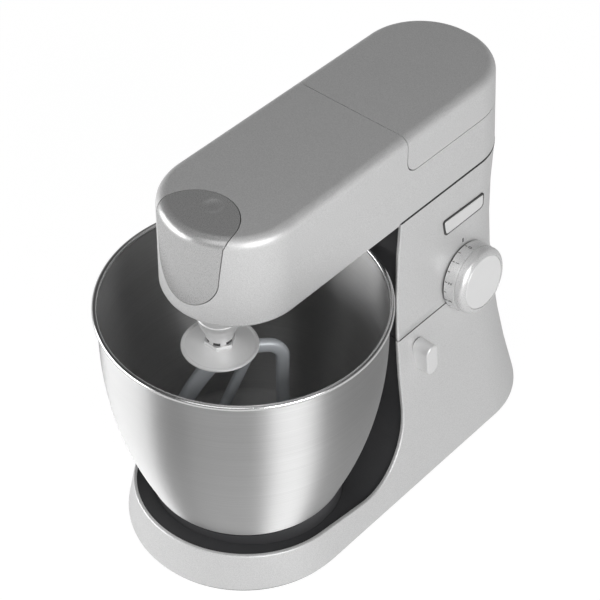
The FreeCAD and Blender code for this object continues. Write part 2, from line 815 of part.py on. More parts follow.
def drive_belt():
    z = BELT_Z + FLANGE_H + 0.5
    height = PULLEY_H - 2 * FLANGE_H - 1
    outer = Part.Face(belt_wire(BELT_FIT + BELT_T, z)).extrude(V(0, 0, height))
    return outer.cut(Part.Face(belt_wire(BELT_FIT, z)).extrude(V(0, 0, height)))


# Head

def rear_region(grow):
    y = REAR_COVER_Y - grow
    z = REAR_COVER_Z - grow
    r = REAR_COVER_CORNER
    c = r * (1 - math.sqrt(0.5))
    far = 2 * WIDE
    a = V(-WIDE, y, far)
    b = V(-WIDE, y, z + r)
    d = V(-WIDE, y + r, z)
    e = V(-WIDE, far, z)
    f = V(-WIDE, far, far)
    wire = Part.Wire([line(a, b), arc(b, V(-WIDE, y + c, z + c), d), line(d, e), line(e, f), line(f, a)])
    return Part.Face(wire).extrude(V(2 * WIDE, 0, 0))


def nose_region(grow):
    r = NOSE_CAP_R + grow
    t = NOSE_TONGUE_R + grow
    z = NOSE_TONGUE_Z
    cap = cyl(r, HEAD_TOP - HEAD_ROUND + NOSE_BLEND, HEAD_TOP + 1, 0, NOSE_CAP_Y)
    top = V(0, -WIDE, HEAD_TOP + 1)
    wire = Part.Wire([
        arc(V(-t, -WIDE, z), V(0, -WIDE, z - t), V(t, -WIDE, z)),
        line(V(t, -WIDE, z), top + V(r, 0, 0)),
        line(top + V(r, 0, 0), top - V(r, 0, 0)),
        line(top - V(r, 0, 0), V(-t, -WIDE, z)),
    ])
    tongue = Part.Face(wire).extrude(V(0, WIDE + NOSE_CAP_Y, 0))
    return fused([cap, tongue])


def head_skin():
    return head(NECK_Z, 0).cut(head(NECK_Z - 1, HEAD_WALL))


def head_shell():
    return head_skin().cut([rear_region(COVER_GAP), nose_region(COVER_GAP)])


def rear_outlet_cover():
    return head_skin().common(rear_region(0))


def front_outlet_cover():
    ball = (DIMPLE_R ** 2 + DIMPLE_DEPTH ** 2) / (2 * DIMPLE_DEPTH)
    dimple = Part.makeSphere(ball, V(0, DIMPLE_Y, HEAD_TOP + ball - DIMPLE_DEPTH))
    return head_skin().common(nose_region(0)).cut(dimple)


def front_outlet_recess():
    inset = HEAD_WALL + FIT
    skin = head(NECK_Z + 4, inset).cut(head(NECK_Z, inset + RECESS_T))
    skin = skin.common(nose_region(4))
    return skin.cut(Part.makeCylinder(OUTLET_R + FIT, WIDE, V(0, -WIDE, OUTLET_Z), V(0, 1, 0)))


def front_outlet_bush():
    top = BRIDGE_Z + PLATE_T
    y0 = HEAD_TOP_FRONT + 5
    barrel = Part.makeCylinder(OUTLET_R, 26, V(0, y0, OUTLET_Z), V(0, 1, 0))
    foot = box(-9, 9, y0 + 8, y0 + 26, top, OUTLET_Z - 5)
    bush = fused([barrel, foot])
    return bush.cut(box(-6, 6, y0 - 1, y0 + 20, OUTLET_Z - 6, OUTLET_Z + 6))


def rear_outlet_deck():
    inset = HEAD_WALL + FIT
    front = REAR_COVER_Y + 1
    plate = head_slice(DECK_Z, DECK_Z + DECK_T, inset)
    skirt = head_slice(DECK_Z - DECK_SKIRT, DECK_Z, inset)
    skirt = skirt.cut(head_slice(DECK_Z - DECK_SKIRT - 1, DECK_Z + 1, inset + 2))
    skirt = skirt.cut(box(-WIDE, WIDE, -WIDE, front + 8, 0, 2 * WIDE))
    wall = head(DECK_Z, inset).common(box(-WIDE, WIDE, front, front + 2, DECK_Z, HEAD_TOP - HEAD_WALL - FIT))
    deck = fused([plate.cut(box(-WIDE, WIDE, -WIDE, front, 0, 2 * WIDE)), skirt, wall])
    return deck.cut(cyl(MOTOR_SHAFT_R + 3, 0, 2 * WIDE, 0, MOTOR_Y))


def rear_outlet_coupling():
    z0 = DECK_Z + DECK_T + 1
    dog = tube(MOTOR_SHAFT_R, 14, z0, z0 + 13, 0, MOTOR_Y)
    for i in range(4):
        notch = box(-2.5, 2.5, MOTOR_Y + 8, MOTOR_Y + 16, z0 + 7, z0 + 14)
        notch.rotate(V(0, MOTOR_Y, 0), V(0, 0, 1), 90 * i)
        dog = dog.cut(notch)
    return dog


def head_tray():
    floor = head_slice(TRAY_LIP_TOP, TRAY_TOP, HEAD_WALL + FIT)
    lip_wire = outline(NECK_HALF - 1, HEAD_FRONT + 1, NECK_REAR, NECK_CORNER, TRAY_Z)
    lip = Part.Face(lip_wire).extrude(V(0, 0, TRAY_LIP_TOP - TRAY_Z))
    lip = lip.common(sweep(-1))
    tray = fused([floor, lip])
    tray = tray.cut(cyl(HUB_R + 1, TRAY_Z - 1, TRAY_TOP + 1))
    return tray.cut(cyl(MOTOR_SHAFT_R + 2, TRAY_Z - 1, TRAY_TOP + 1, 0, MOTOR_Y))


def ring_gear():
    blank = cyl(RING_OUT_R, TRAY_TOP, RING_TOP)
    wire = gear_wire(RING_TEETH, DEDENDUM, ADDENDUM, -BACKLASH, TOOL_DEG, 0, 0, TRAY_TOP)
    return blank.cut(Part.Face(wire).extrude(V(0, 0, RING_TOP - TRAY_TOP)))


def gearbox_slab(z0):
    slab = head_slice(z0, z0 + PLATE_T, HEAD_WALL + RECESS_T + 2 * FIT)
    slab = slab.cut(box(-WIDE, WIDE, DRIVE_Y + 22, 2 * WIDE, 0, 2 * WIDE))
    slab = slab.cut(cyl(HUB_BEARING_R, z0, z0 + PLATE_T))
    return slab.cut(cyl(BEARING_R, z0, z0 + PLATE_T, 0, DRIVE_Y))


def gearbox_plate():
    return gearbox_slab(RING_TOP)


def gearbox_bridge():
    posts = [cyl(3.5, RING_TOP + PLATE_T, BRIDGE_Z, x, y) for x in (-44.5, 44.5) for y in (-35, 50)]
    return fused([gearbox_slab(BRIDGE_Z)] + posts)


def gearbox_bearings():
    rings = []
    for z in (RING_TOP, BRIDGE_Z):
        rings.append(tube(HUB_SHAFT_R + RUN, HUB_BEARING_R, z, z + PLATE_T))
        rings.append(tube(DRIVE_R + RUN, BEARING_R, z, z + PLATE_T, 0, DRIVE_Y))
    return Part.makeCompound(rings)


def drive_shaft():
    return cyl(DRIVE_R, RING_TOP, BELT_Z + PULLEY_H + 2, 0, DRIVE_Y)


def drive_pinion():
    return spur(PINION_TEETH, 270 + 180 / PINION_TEETH, DRIVE_R, MAIN_Z, MAIN_H, 0, DRIVE_Y)


def main_gear():
    return spur(MAIN_TEETH, 90, HUB_SHAFT_R, MAIN_Z, MAIN_H, 0, 0)


def planetary_hub():
    disc = cyl(HUB_R, HUB_Z, HUB_TOP)
    boss = cyl(HUB_BOSS_R, HUB_TOP, RING_TOP - TURN_GAP)
    shaft = cyl(HUB_SHAFT_R, HUB_TOP, BRIDGE_Z + PLATE_T)
    hub = fused([disc, boss, shaft])
    return hub.cut(cyl(SPINDLE_BUSH_R, HUB_Z, HUB_TOP, TOOL_X, TOOL_Y))


def spindle_bushes():
    return tube(SPINDLE_R + RUN, SPINDLE_BUSH_R, HUB_Z, HUB_TOP, TOOL_X, TOOL_Y)


def planet_pinion():
    z0 = TRAY_TOP + 0.5
    return spur(PLANET_TEETH, TOOL_DEG, SPINDLE_R, z0, RING_TOP - 2 - z0, TOOL_X, TOOL_Y)


# Tool

def tool_spindle():
    return cyl(SPINDLE_R, SOCKET_END_Z, RING_TOP - 1.5, TOOL_X, TOOL_Y)


def tool_socket():
    top = HUB_Z - TURN_GAP
    return turned([
        (SPINDLE_R, SOCKET_END_Z), (SOCKET_END_R, SOCKET_END_Z), (SOCKET_END_R + 0.6, SOCKET_END_Z + 5),
        (SOCKET_TOP_R, SOCKET_END_Z + 15), (SOCKET_TOP_R, top), (SPINDLE_R, top),
    ], TOOL_X, TOOL_Y)


def lock_nut():
    r = NUT_ACROSS / math.sqrt(3)
    turns = [math.pi * i / 3 for i in range(6)]
    ring = [(TOOL_X + r * math.cos(a), TOOL_Y + r * math.sin(a)) for a in turns]
    nut = prism_z(ring, DISC_TOP, SOCKET_END_Z)
    dome = turned([
        (0, DISC_TOP), (r, DISC_TOP), (r, SOCKET_END_Z - 1.5), (NUT_ACROSS / 2 - 0.6, SOCKET_END_Z),
        (0, SOCKET_END_Z),
    ], TOOL_X, TOOL_Y)
    return nut.common(dome).cut(cyl(SPINDLE_R, 0, WIDE * 2, TOOL_X, TOOL_Y))


def splash_disc():
    low = DISC_TOP - DISC_DISH
    return turned([
        (SPINDLE_R, DISC_TOP - DISC_T), (NUT_ACROSS / 2, DISC_TOP - DISC_T), (DISC_R, low - DISC_T),
        (DISC_R, low), (NUT_ACROSS / 2 + 2.5, DISC_TOP), (SPINDLE_R, DISC_TOP),
    ], TOOL_X, TOOL_Y)


def bar(a, b, r):
    along = b - a
    return Part.makeCylinder(r, along.Length, a, along)


def beater_point(s, z):
    turn = math.radians(BEATER_DEG)
    return V(TOOL_X + s * math.cos(turn), TOOL_Y + s * math.sin(turn), z)


def beater():
    hub_z = BEATER_PATH[0][1]
    path = [(0, hub_z)] + BEATER_PATH + [(0, hub_z - 2)]
    points = [beater_point(s, z) for s, z in path]
    neck = turned([
        (0, hub_z - 12), (8, hub_z - 9), (10, hub_z), (9, DISC_TOP - DISC_T), (SPINDLE_R, DISC_TOP - DISC_T),
        (SPINDLE_R, SOCKET_END_Z), (0, SOCKET_END_Z),
    ], TOOL_X, TOOL_Y)
    pieces = [neck]
    for a, b in zip(points, points[1:]):
        pieces.append(bar(a, b, BEATER_BAR_R))
    for p in points[1:-1]:
        pieces.append(Part.makeSphere(BEATER_BAR_R, p))
    pieces.append(bar(beater_point(26, hub_z), beater_point(-31, 71), BEATER_STRUT_R))
    return fused(pieces)


# Knob

def speed_knob():
    r = KNOB_R
    face = KNOB_LENGTH
    drum = turned([
        (0, KNOB_LIFT), (r, KNOB_LIFT), (r, KNOB_BAND), (r - 1.2, KNOB_BAND), (r - 1.2, KNOB_BAND + 0.8),
        (r - 0.4, KNOB_BAND + 0.8), (r - 0.6, face - 4.5), (r - 1.6, face - 1.8), (r - 4.5, face),
        (KNOB_FACE_R, face), (KNOB_FACE_R, face - 1.2), (0, face - 1.2),
    ])
    return on_knob(fused([drum, cyl(KNOB_SHAFT_R, -22, KNOB_BAND)]))


def knob_cap():
    return on_knob(cyl(KNOB_FACE_R, KNOB_LENGTH - 1.2, KNOB_LENGTH - 0.2))


def speed_sensor():
    return on_knob(tube(KNOB_SHAFT_R + RUN, 12, -20, -2 * BODY_WALL))


def dial_ring():
    ring = on_knob(tube(KNOB_BOSS_R, KNOB_R - 2, -BODY_WALL, KNOB_LIFT - 2 * FIT))
    ring = ring.cut(housing_outside(-FIT / 2))
    return ring.cut(box(-WIDE, WIDE, -WIDE, 2 * WIDE, 0, SEAM_Z + SEAM_GAP / 2))


def badge_plate():
    x = half_at(BADGE_Z + BADGE_H / 2)
    y1 = BADGE_Y + BADGE_L
    top = BADGE_Z + BADGE_H
    corners = [(BADGE_Y, top), (BADGE_Y + 3, BADGE_Z), (y1, BADGE_Z), (y1, top - 2)]
    slab = prism_x(corners, x - BADGE_T, x + BADGE_T)
    return slab.cut(housing_outside(0))


PIECES = [
    pedestal_shell, base_liner, base_plate, rubber_feet, cord_gland, column_top_plate,
    hinge_frame, hinge_pin, hinge_bushes, release_lever, lever_shaft, latch_cam, bowl, bowl_foot,
    bowl_seat, motor_housing, column_panel, latch_keeper, chassis, motor_stator, field_coils,
    motor_bracket, motor_bearings, brush_holders, motor_shaft, rotor_core, commutator, motor_fan,
    motor_pulley, drive_pulley, drive_belt, head_shell, rear_outlet_cover, front_outlet_cover,
    front_outlet_recess, front_outlet_bush, rear_outlet_deck, rear_outlet_coupling, head_tray, ring_gear,
    gearbox_plate, gearbox_bridge, gearbox_bearings, drive_shaft, drive_pinion, main_gear,
    planetary_hub, spindle_bushes, planet_pinion, tool_spindle, tool_socket, lock_nut, splash_disc, beater,
    speed_knob, knob_cap, speed_sensor, dial_ring, badge_plate, control_board,
]

os.makedirs("parts", exist_ok=True)
for piece in PIECES:
    shape = piece()
    shape.translate(V(0, -CENTRE_Y, 0))
    shape.exportStep("parts/" + piece.__name__ + ".step")
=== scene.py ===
"""Looks of a tilt-head stand mixer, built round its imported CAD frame."""
import json
import math

import bmesh
import bpy
from mathutils import Matrix, Vector


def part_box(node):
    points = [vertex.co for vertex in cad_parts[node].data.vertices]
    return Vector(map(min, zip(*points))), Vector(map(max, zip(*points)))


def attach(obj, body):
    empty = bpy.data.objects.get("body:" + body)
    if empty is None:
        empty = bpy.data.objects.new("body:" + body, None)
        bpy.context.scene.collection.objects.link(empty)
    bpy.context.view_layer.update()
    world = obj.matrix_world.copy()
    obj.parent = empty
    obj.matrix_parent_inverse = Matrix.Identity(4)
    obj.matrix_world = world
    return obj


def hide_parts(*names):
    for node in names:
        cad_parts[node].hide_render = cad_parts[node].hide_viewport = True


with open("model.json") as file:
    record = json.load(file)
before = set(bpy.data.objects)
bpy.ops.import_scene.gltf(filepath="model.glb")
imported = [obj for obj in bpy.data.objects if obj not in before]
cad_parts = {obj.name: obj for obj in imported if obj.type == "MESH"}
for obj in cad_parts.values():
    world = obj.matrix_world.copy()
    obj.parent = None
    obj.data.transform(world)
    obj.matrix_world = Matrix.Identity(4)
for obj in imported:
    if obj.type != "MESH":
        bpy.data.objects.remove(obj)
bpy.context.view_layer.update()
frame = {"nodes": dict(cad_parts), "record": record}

# Sizes are in mm, and the bowl's axis stands at BOWL_Y; meshes are in metres
MM = 0.001
RIGHT = Vector((1, 0, 0))
BACK = Vector((0, 1, 0))
UP = Vector((0, 0, 1))
BOWL_Y = -94.5
BOWL_AXIS = Vector((0, BOWL_Y, 0)) * MM
TOOL_AXIS = Vector((10.015, BOWL_Y - 38.726, 0)) * MM
FOOT_H = 4.0
BASE_HALF = 104.0
BASE_FRONT = BOWL_Y - 107.3
BASE_REAR = BOWL_Y + 311.5
BASE_CORNER = 84.0
NECK_Z = 278.0
NECK_HALF = 60.8
NECK_FRONT = BOWL_Y - 69.0
NECK_REAR = BOWL_Y + 287.0
NECK_CORNER = 55.0
NECK_GAP = 1.7
SEAM_Z = 154.5
SEAM_GAP = 1.2
COLUMN_FRONT_Y = BOWL_Y + 119.0
KNUCKLE_FRONT_Y = BOWL_Y + 215.0
SLOT_OF = {part["node"]: part["material_slot"] for part in frame["record"]["subparts"]}
BODY_OF = {
    node: body for body, nodes in frame["record"]["behaviour"]["bodies"].items() for node in nodes
}


def half_at(z):
    """Half the width of the flared column and base at one height."""
    return NECK_HALF + (BASE_HALF - NECK_HALF) * ((NECK_Z - z) / (NECK_Z - FOOT_H)) ** 2


class Value:
    """One node output; sums and products on it add Math nodes."""

    def __init__(self, finish, socket):
        self.finish = finish
        self.socket = socket

    def maths(self, operation, other=0.0):
        return self.finish.node("ShaderNodeMath", {"operation": operation}, {0: self, 1: other})

    def __add__(self, other):
        return self.maths("ADD", other)

    def __radd__(self, other):
        return self.finish.node("ShaderNodeMath", {"operation": "ADD"}, {0: other, 1: self})

    def __sub__(self, other):
        return self.maths("SUBTRACT", other)

    def __rsub__(self, other):
        return self.finish.node("ShaderNodeMath", {"operation": "SUBTRACT"}, {0: other, 1: self})

    def __mul__(self, other):
        return self.maths("MULTIPLY", other)

    def __pow__(self, other):
        return self.maths("POWER", other)


class Finish:
    """A node tree that is written as Python expressions."""

    def __init__(self, tree):
        self.tree = tree
        tree.nodes.clear()

    def node(self, kind, settings=None, inputs=None, output=0):
        made = self.tree.nodes.new(kind)
        for key, setting in (settings or {}).items():
            setattr(made, key, setting)
        for key, given in (inputs or {}).items():
            if isinstance(given, Value):
                self.tree.links.new(given.socket, made.inputs[key])
            else:
                made.inputs[key].default_value = given
        return Value(self, made.outputs[output]) if made.outputs else None

    def place(self, scale=(1, 1, 1)):
        where = self.node("ShaderNodeTexCoord", output="Object")
        return self.node("ShaderNodeMapping", inputs={"Vector": where, "Scale": scale})

    def noise(self, where, scale, detail=3.0, roughness=0.5):
        sizes = {"Vector": where, "Scale": scale, "Detail": detail, "Roughness": roughness}
        return self.node("ShaderNodeTexNoise", inputs=sizes)

    def stretch(self, tone, low, high):
        return self.node("ShaderNodeMapRange", inputs={0: tone, 1: low, 2: high})

    def around(self, middle, tone, spread):
        """A value that the tone swings by the spread to both sides of its middle."""
        return middle - spread + tone * (2 * spread)

    def shades(self, factor, dark, light):
        colours = {0: factor, 6: (*dark, 1), 7: (*light, 1)}
        return self.node("ShaderNodeMix", {"data_type": "RGBA"}, colours, output=2)

    def ramp(self, factor, ends, between):
        """Grey levels along a factor: one at each end, and (place, level) pairs between them."""
        made = self.tree.nodes.new("ShaderNodeValToRGB")
        self.tree.links.new(factor.socket, made.inputs[0])
        elements = made.color_ramp.elements
        for element, level in zip((elements[0], elements[1]), ends):
            element.color = (*grey(level), 1)
        for place, level in between:
            elements.new(place).color = (*grey(level), 1)
        return Value(self, made.outputs[0])

    def bump(self, height, strength, distance):
        sizes = {"Strength": strength, "Distance": distance, "Height": height}
        return self.node("ShaderNodeBump", inputs=sizes)

    def ray(self, kind):
        return self.node("ShaderNodeLightPath", output=kind)

    def surface(self, **inputs):
        named = {key.replace("_", " ").title(): given for key, given in inputs.items()}
        shader = self.node("ShaderNodeBsdfPrincipled", inputs=named)
        self.node("ShaderNodeOutputMaterial", inputs={"Surface": shader})


class Pattern(Finish):
    """A Geometry Nodes tree with named sizes, for what repeats."""

    def __init__(self, name, sizes):
        tree = bpy.data.node_groups.new(name, "GeometryNodeTree")
        super().__init__(tree)
        tree.interface.new_socket("Geometry", in_out="INPUT", socket_type="NodeSocketGeometry")
        for key, kind in sizes.items():
            tree.interface.new_socket(key, in_out="INPUT", socket_type="NodeSocket" + kind)
        tree.interface.new_socket("Geometry", in_out="OUTPUT", socket_type="NodeSocketGeometry")
        self.given = tree.nodes.new("NodeGroupInput")

    def size(self, name):
        return Value(self, self.given.outputs[name])

    def vector(self, x, y, z):
        return self.node("ShaderNodeCombineXYZ", inputs={0: x, 1: y, 2: z})

    def block(self, x, y, z):
        return self.node("GeometryNodeMeshCube", inputs={"Size": self.vector(x, y, z)})

    def close(self, copies, look):
        """Ends the tree with the given instances on points, in one material."""
        placed = self.node("GeometryNodeInstanceOnPoints", inputs=copies)
        real = self.node("GeometryNodeRealizeInstances", inputs={0: placed})
        dressed = self.node("GeometryNodeSetMaterial", inputs={"Geometry": real, "Material": look})
        self.node("NodeGroupOutput", inputs={0: dressed})

    def grown(self, sizes, spots=()):
        """The pattern as a plain mesh, on the given points in mm where it needs points."""
        seed = bpy.data.meshes.new("spots")
        seed.from_pydata([Vector(spot) * MM for spot in spots], [], [])
        helper = linked("pattern_helper", seed)
        pattern = helper.modifiers.new("pattern", "NODES")
        pattern.node_group = self.tree
        for item in self.tree.interface.items_tree:
            if item.in_out == "INPUT" and item.name in sizes:
                pattern[item.identifier] = sizes[item.name]
        return baked(helper)


def linked(name, data):
    """A new object in the scene."""
    made = bpy.data.objects.new(name, data)
    bpy.context.scene.collection.objects.link(made)
    return made


def baked(helper):
    """The evaluated mesh of a helper object, which is then removed."""
    depsgraph = bpy.context.evaluated_depsgraph_get()
    made = bpy.data.meshes.new_from_object(helper.evaluated_get(depsgraph))
    bpy.data.objects.remove(helper)
    return made


def material(name, describe):
    made = bpy.data.materials.new(name)
    made.use_nodes = True
    describe(Finish(made.node_tree))
    return made


def grey(level):
    return (level, level, level)


# Finishes
def metallic_paint(light, dark, roughness, speckle=1400.0):
    def describe(f):
        where = f.place()
        flake = f.stretch(f.noise(where, speckle, detail=2.0, roughness=0.7), 0.32, 0.68)
        drift = f.noise(where, 9.0, detail=2.0)
        f.surface(
            base_color=f.shades(flake * 0.85 + drift * 0.15, dark, light),
            metallic=0.5,
            roughness=f.around(roughness, flake, 0.08),
            coat_weight=0.1,
            coat_roughness=0.25,
            normal=f.bump(flake, strength=0.08, distance=0.0002),
        )
    return describe


def brushed_metal(light, dark, roughness, scale, strength, pull=0.0):
    """Pull widens the reflection across the brush lines, which run round the upright axis."""
    def describe(f):
        streak = f.stretch(f.noise(f.place(scale), 1.0, detail=4.0, roughness=0.65), 0.25, 0.75)
        stain = f.noise(f.place(), 14.0)
        f.surface(
            base_color=f.shades(streak * 0.75 + stain * 0.25, dark, light),
            metallic=1.0,
            roughness=f.around(roughness, streak, 0.06),
            anisotropic=pull,
            anisotropic_rotation=0.25,
            normal=f.bump(streak, strength, distance=0.0002),
        )
    return describe


def moulding(light, dark, roughness, grain=1100.0, strength=0.12):
    def describe(f):
        where = f.place()
        pebble = f.noise(where, grain, detail=2.0, roughness=0.6)
        drift = f.noise(where, 16.0)
        f.surface(
            base_color=f.shades(pebble * 0.5 + drift * 0.5, dark, light),
            roughness=f.around(roughness, pebble, 0.07),
            normal=f.bump(pebble, strength, distance=0.0003),
        )
    return describe


def plated(light, dark, roughness, metallic=1.0):
    def describe(f):
        smear = f.noise(f.place(), 40.0, detail=4.0, roughness=0.6)
        f.surface(
            base_color=f.shades(smear, dark, light),
            metallic=metallic,
            roughness=f.around(roughness, smear, 0.04),
        )
    return describe


def cast_metal(light, dark, roughness, metallic=0.95, strength=0.15):
    def describe(f):
        where = f.place()
        grain = f.noise(where, 420.0, detail=5.0, roughness=0.6)
        flow = f.noise(where, 30.0)
        f.surface(
            base_color=f.shades(grain * 0.6 + flow * 0.4, dark, light),
            metallic=metallic,
            roughness=f.around(roughness, grain, 0.1),
            normal=f.bump(grain, strength, distance=0.0004),
        )
    return describe


def laminated(light, dark, roughness):
    def describe(f):
        waves = {"Vector": f.place(), "Scale": 320.0}
        sheets = f.node("ShaderNodeTexWave", {"bands_direction": "Z"}, waves, output=1)
        f.surface(
            base_color=f.shades(sheets, dark, light),
            metallic=0.5,
            roughness=roughness + sheets * 0.1,
            normal=f.bump(sheets, strength=0.4, distance=0.0004),
        )
    return describe


def wound(light, dark, roughness):
    def describe(f):
        waves = {"Vector": f.place((1, 1, 4)), "Scale": 180.0, "Distortion": 1.5}
        rings = {"wave_type": "RINGS", "rings_direction": "Z"}
        turns = f.node("ShaderNodeTexWave", rings, waves, output=1)
        f.surface(
            base_color=f.shades(turns, dark, light),
            metallic=0.8,
            roughness=roughness + turns * 0.1,
            normal=f.bump(turns, strength=0.5, distance=0.0006),
        )
    return describe


# The first block has the CAD slots' names; the second holds looks that some pieces have instead
FINISHES = {
    "silver_paint": metallic_paint(grey(0.8), grey(0.6), 0.48),
    "silver_plastic": metallic_paint(grey(0.8), grey(0.68), 0.33, speckle=1900.0),
    "charcoal": moulding((0.055, 0.055, 0.058), (0.038, 0.038, 0.04), 0.52),
    "black_rubber": moulding(grey(0.025), grey(0.014), 0.75, grain=700.0, strength=0.25),
    "bowl_steel": brushed_metal(grey(0.66), grey(0.5), 0.54, (5, 5, 1400), strength=0.1, pull=0.97),
    "tool_cast": plated((0.68, 0.71, 0.74), (0.62, 0.65, 0.68), 0.42, metallic=0.25),
    "steel": brushed_metal(grey(0.6), grey(0.45), 0.3, (60, 60, 900), strength=0.08),
    "cast": cast_metal(grey(0.2), grey(0.12), 0.55),
    "alloy": cast_metal(grey(0.6), grey(0.45), 0.4),
    "brass": brushed_metal((0.78, 0.58, 0.28), (0.6, 0.42, 0.18), 0.3, (40, 40, 700), strength=0.08),
    "lamination": laminated(grey(0.3), grey(0.12), 0.45),
    "copper": wound((0.72, 0.34, 0.16), (0.3, 0.12, 0.05), 0.35),
    "nylon": moulding((0.72, 0.69, 0.6), (0.62, 0.59, 0.5), 0.45),
    "board": moulding((0.03, 0.16, 0.07), (0.02, 0.11, 0.05), 0.4, grain=500.0),
    "belt_rubber": moulding(grey(0.03), grey(0.015), 0.7, grain=600.0, strength=0.3),

    "nose_satin": metallic_paint(grey(0.55), grey(0.47), 0.3, speckle=2300.0),
    "rim_polish": plated(grey(0.82), grey(0.72), 0.2),
    "disc_satin": cast_metal(grey(0.92), grey(0.85), 0.4, metallic=0.25, strength=0.05),
    "socket_satin": cast_metal(grey(0.8), grey(0.7), 0.38, metallic=0.45, strength=0.08),
    "lever_satin": metallic_paint(grey(0.9), grey(0.8), 0.4, speckle=2000.0),
    "badge_bright": plated(grey(0.9), grey(0.84), 0.26, metallic=0.5),
    "knob_face": plated(grey(0.88), grey(0.84), 0.34, metallic=0.3),
    # Dark ink for printed marks; the lock nut's dark blocks also use it as painted shade in its slots
    "dark_print_and_painted_shade": moulding(grey(0.06), grey(0.04), 0.5),
}
LOOKS = {name: material(name, describe) for name, describe in FINISHES.items()}


def add_mesh(name, mesh, body, slot, nodes=(), look=None):
    piece = linked(name, mesh)
    mesh.materials.clear()
    mesh.materials.append(LOOKS[look or slot])
    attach(piece, body)
    if nodes:
        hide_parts(*nodes)


# Shaping helpers
WELD_DIST = 2e-6
FLAT_DEG = 0.4
BEVEL_STEPS = 3
BEVEL_FROM_DEG = 40
ON_AXIS = 1e-6


def smooth(mesh, crease_deg):
    mesh.polygons.foreach_set("use_smooth", [True] * len(mesh.polygons))
    mesh.set_sharp_from_angle(angle=math.radians(crease_deg))


def finished(mesh, bevel=0.0):
    """Rounded edges where asked, and flat faces that keep their own normal beside a round edge."""
    helper = linked("finish_helper", mesh)
    if bevel:
        edges = helper.modifiers.new("edges", "BEVEL")
        edges.width = bevel * MM
        edges.segments = BEVEL_STEPS
        edges.limit_method = "ANGLE"
        edges.angle_limit = math.radians(BEVEL_FROM_DEG)
    even = helper.modifiers.new("even", "WEIGHTED_NORMAL")
    even.mode = "FACE_AREA_WITH_ANGLE"
    even.keep_sharp = True
    return baked(helper)


def skin(node, crease_deg=28.0, bevel=0.0):
    """The CAD node's own shape with its facets joined and shaded as one surface."""
    mesh = frame["nodes"][node].data.copy()
    shape = bmesh.new()
    shape.from_mesh(mesh)
    bmesh.ops.remove_doubles(shape, verts=shape.verts, dist=WELD_DIST)
    if bevel:
        flat = math.radians(FLAT_DEG)
        bmesh.ops.dissolve_limit(shape, angle_limit=flat, verts=shape.verts, edges=shape.edges)
    shape.to_mesh(mesh)
    shape.free()
    smooth(mesh, crease_deg)
    return finished(mesh, bevel)


def closed_mesh(name, shape):
    """A mesh from a bmesh, with all faces turned outwards."""
    bmesh.ops.recalc_face_normals(shape, faces=shape.faces)
    mesh = bpy.data.meshes.new(name)
    shape.to_mesh(mesh)
    shape.free()
    return mesh


def turned_to(across, rise, out):
    """The turn that takes a plate's own x, y and z to three directions."""
    return Matrix((across, rise, out)).transposed().to_4x4()


def arc_points(centre, radius, start_deg, end_deg, steps):
    turn = [math.radians(start_deg + (end_deg - start_deg) * i / steps) for i in range(steps + 1)]
    return [(centre[0] + radius * math.cos(a), centre[1] + radius * math.sin(a)) for a in turn]


def lathe(profile, origin, axis=UP, steps=160, crease_deg=35.0):
    """Turned piece: profile is (radius, height) in mm, from the axis out and back to it."""
    shape = bmesh.new()
    rings = []
    turn = [2 * math.pi * i / steps for i in range(steps)]
    for radius, height in profile:
        if radius < ON_AXIS:
            rings.append([shape.verts.new((0, 0, height * MM))])
        else:
            far = radius * MM
            rings.append([
                shape.verts.new((far * math.cos(a), far * math.sin(a), height * MM)) for a in turn
            ])
    for low, high in zip(rings, rings[1:] + rings[:1]):
        if len(low) == 1 and len(high) == 1:
            continue
        for i in range(steps):
            j = (i + 1) % steps
            corners = [low[i % len(low)], low[j % len(low)], high[j % len(high)], high[i % len(high)]]
            shape.faces.new(list(dict.fromkeys(corners)))
    mesh = closed_mesh("turned", shape)
    tilt = UP.rotation_difference(axis).to_matrix().to_4x4()
    mesh.transform(Matrix.Translation(origin) @ tilt)
    smooth(mesh, crease_deg)
    return mesh


def plan(half, front, rear, corner, steps):
    """Body outline seen from above: a round nose, straight sides and two round back corners."""
    nose = arc_points((0, front + half), half, 0, -180, 2 * steps)
    left = arc_points((corner - half, rear - corner), corner, 180, 90, steps)
    right = arc_points((half - corner, rear - corner), corner, 90, 0, steps)
    return nose + left + right


def strip(line, profile, closed):
    """Solid strip along a plan line; profile is (distance in from the line, height), all in mm."""
    count = len(line)
    shape = bmesh.new()
    rings = []
    for i, (x, y) in enumerate(line):
        before = line[i - 1] if closed or i else (x, y)
        after = line[(i + 1) % count] if closed or i + 1 < count else (x, y)
        run = Vector((after[0] - before[0], after[1] - before[1])).normalized()
        rings.append([
            shape.verts.new(Vector((x + run.y * deep, y - run.x * deep, z)) * MM)
            for deep, z in profile
        ])
    for first, second in zip(rings, rings[1:] + rings[:1] if closed else rings[1:]):
        for k in range(len(profile)):
            j = (k + 1) % len(profile)
            shape.faces.new((first[k], first[j], second[j], second[k]))
    if not closed:
        shape.faces.new(rings[0])
        shape.faces.new(rings[-1])
    mesh = closed_mesh("strip", shape)
    smooth(mesh, 35)
    return mesh


def prism(low, high):
    """Bmesh between two loops of corners with the same count."""
    shape = bmesh.new()
    bottom = [shape.verts.new(Vector(corner) * MM) for corner in low]
    top = [shape.verts.new(Vector(corner) * MM) for corner in high]
    shape.faces.new(bottom[::-1])
    shape.faces.new(top)
    for i in range(len(low)):
        j = (i + 1) % len(low)
        shape.faces.new((bottom[i], bottom[j], top[j], top[i]))
    return shape


def slab(outline, thick, place):
    """Flat plate: outline and thickness in mm in the plate's own plane, then put in its place."""
    mesh = closed_mesh("slab", prism([(x, y, 0) for x, y in outline], [(x, y, thick) for x, y in outline]))
    mesh.transform(place)
    return mesh


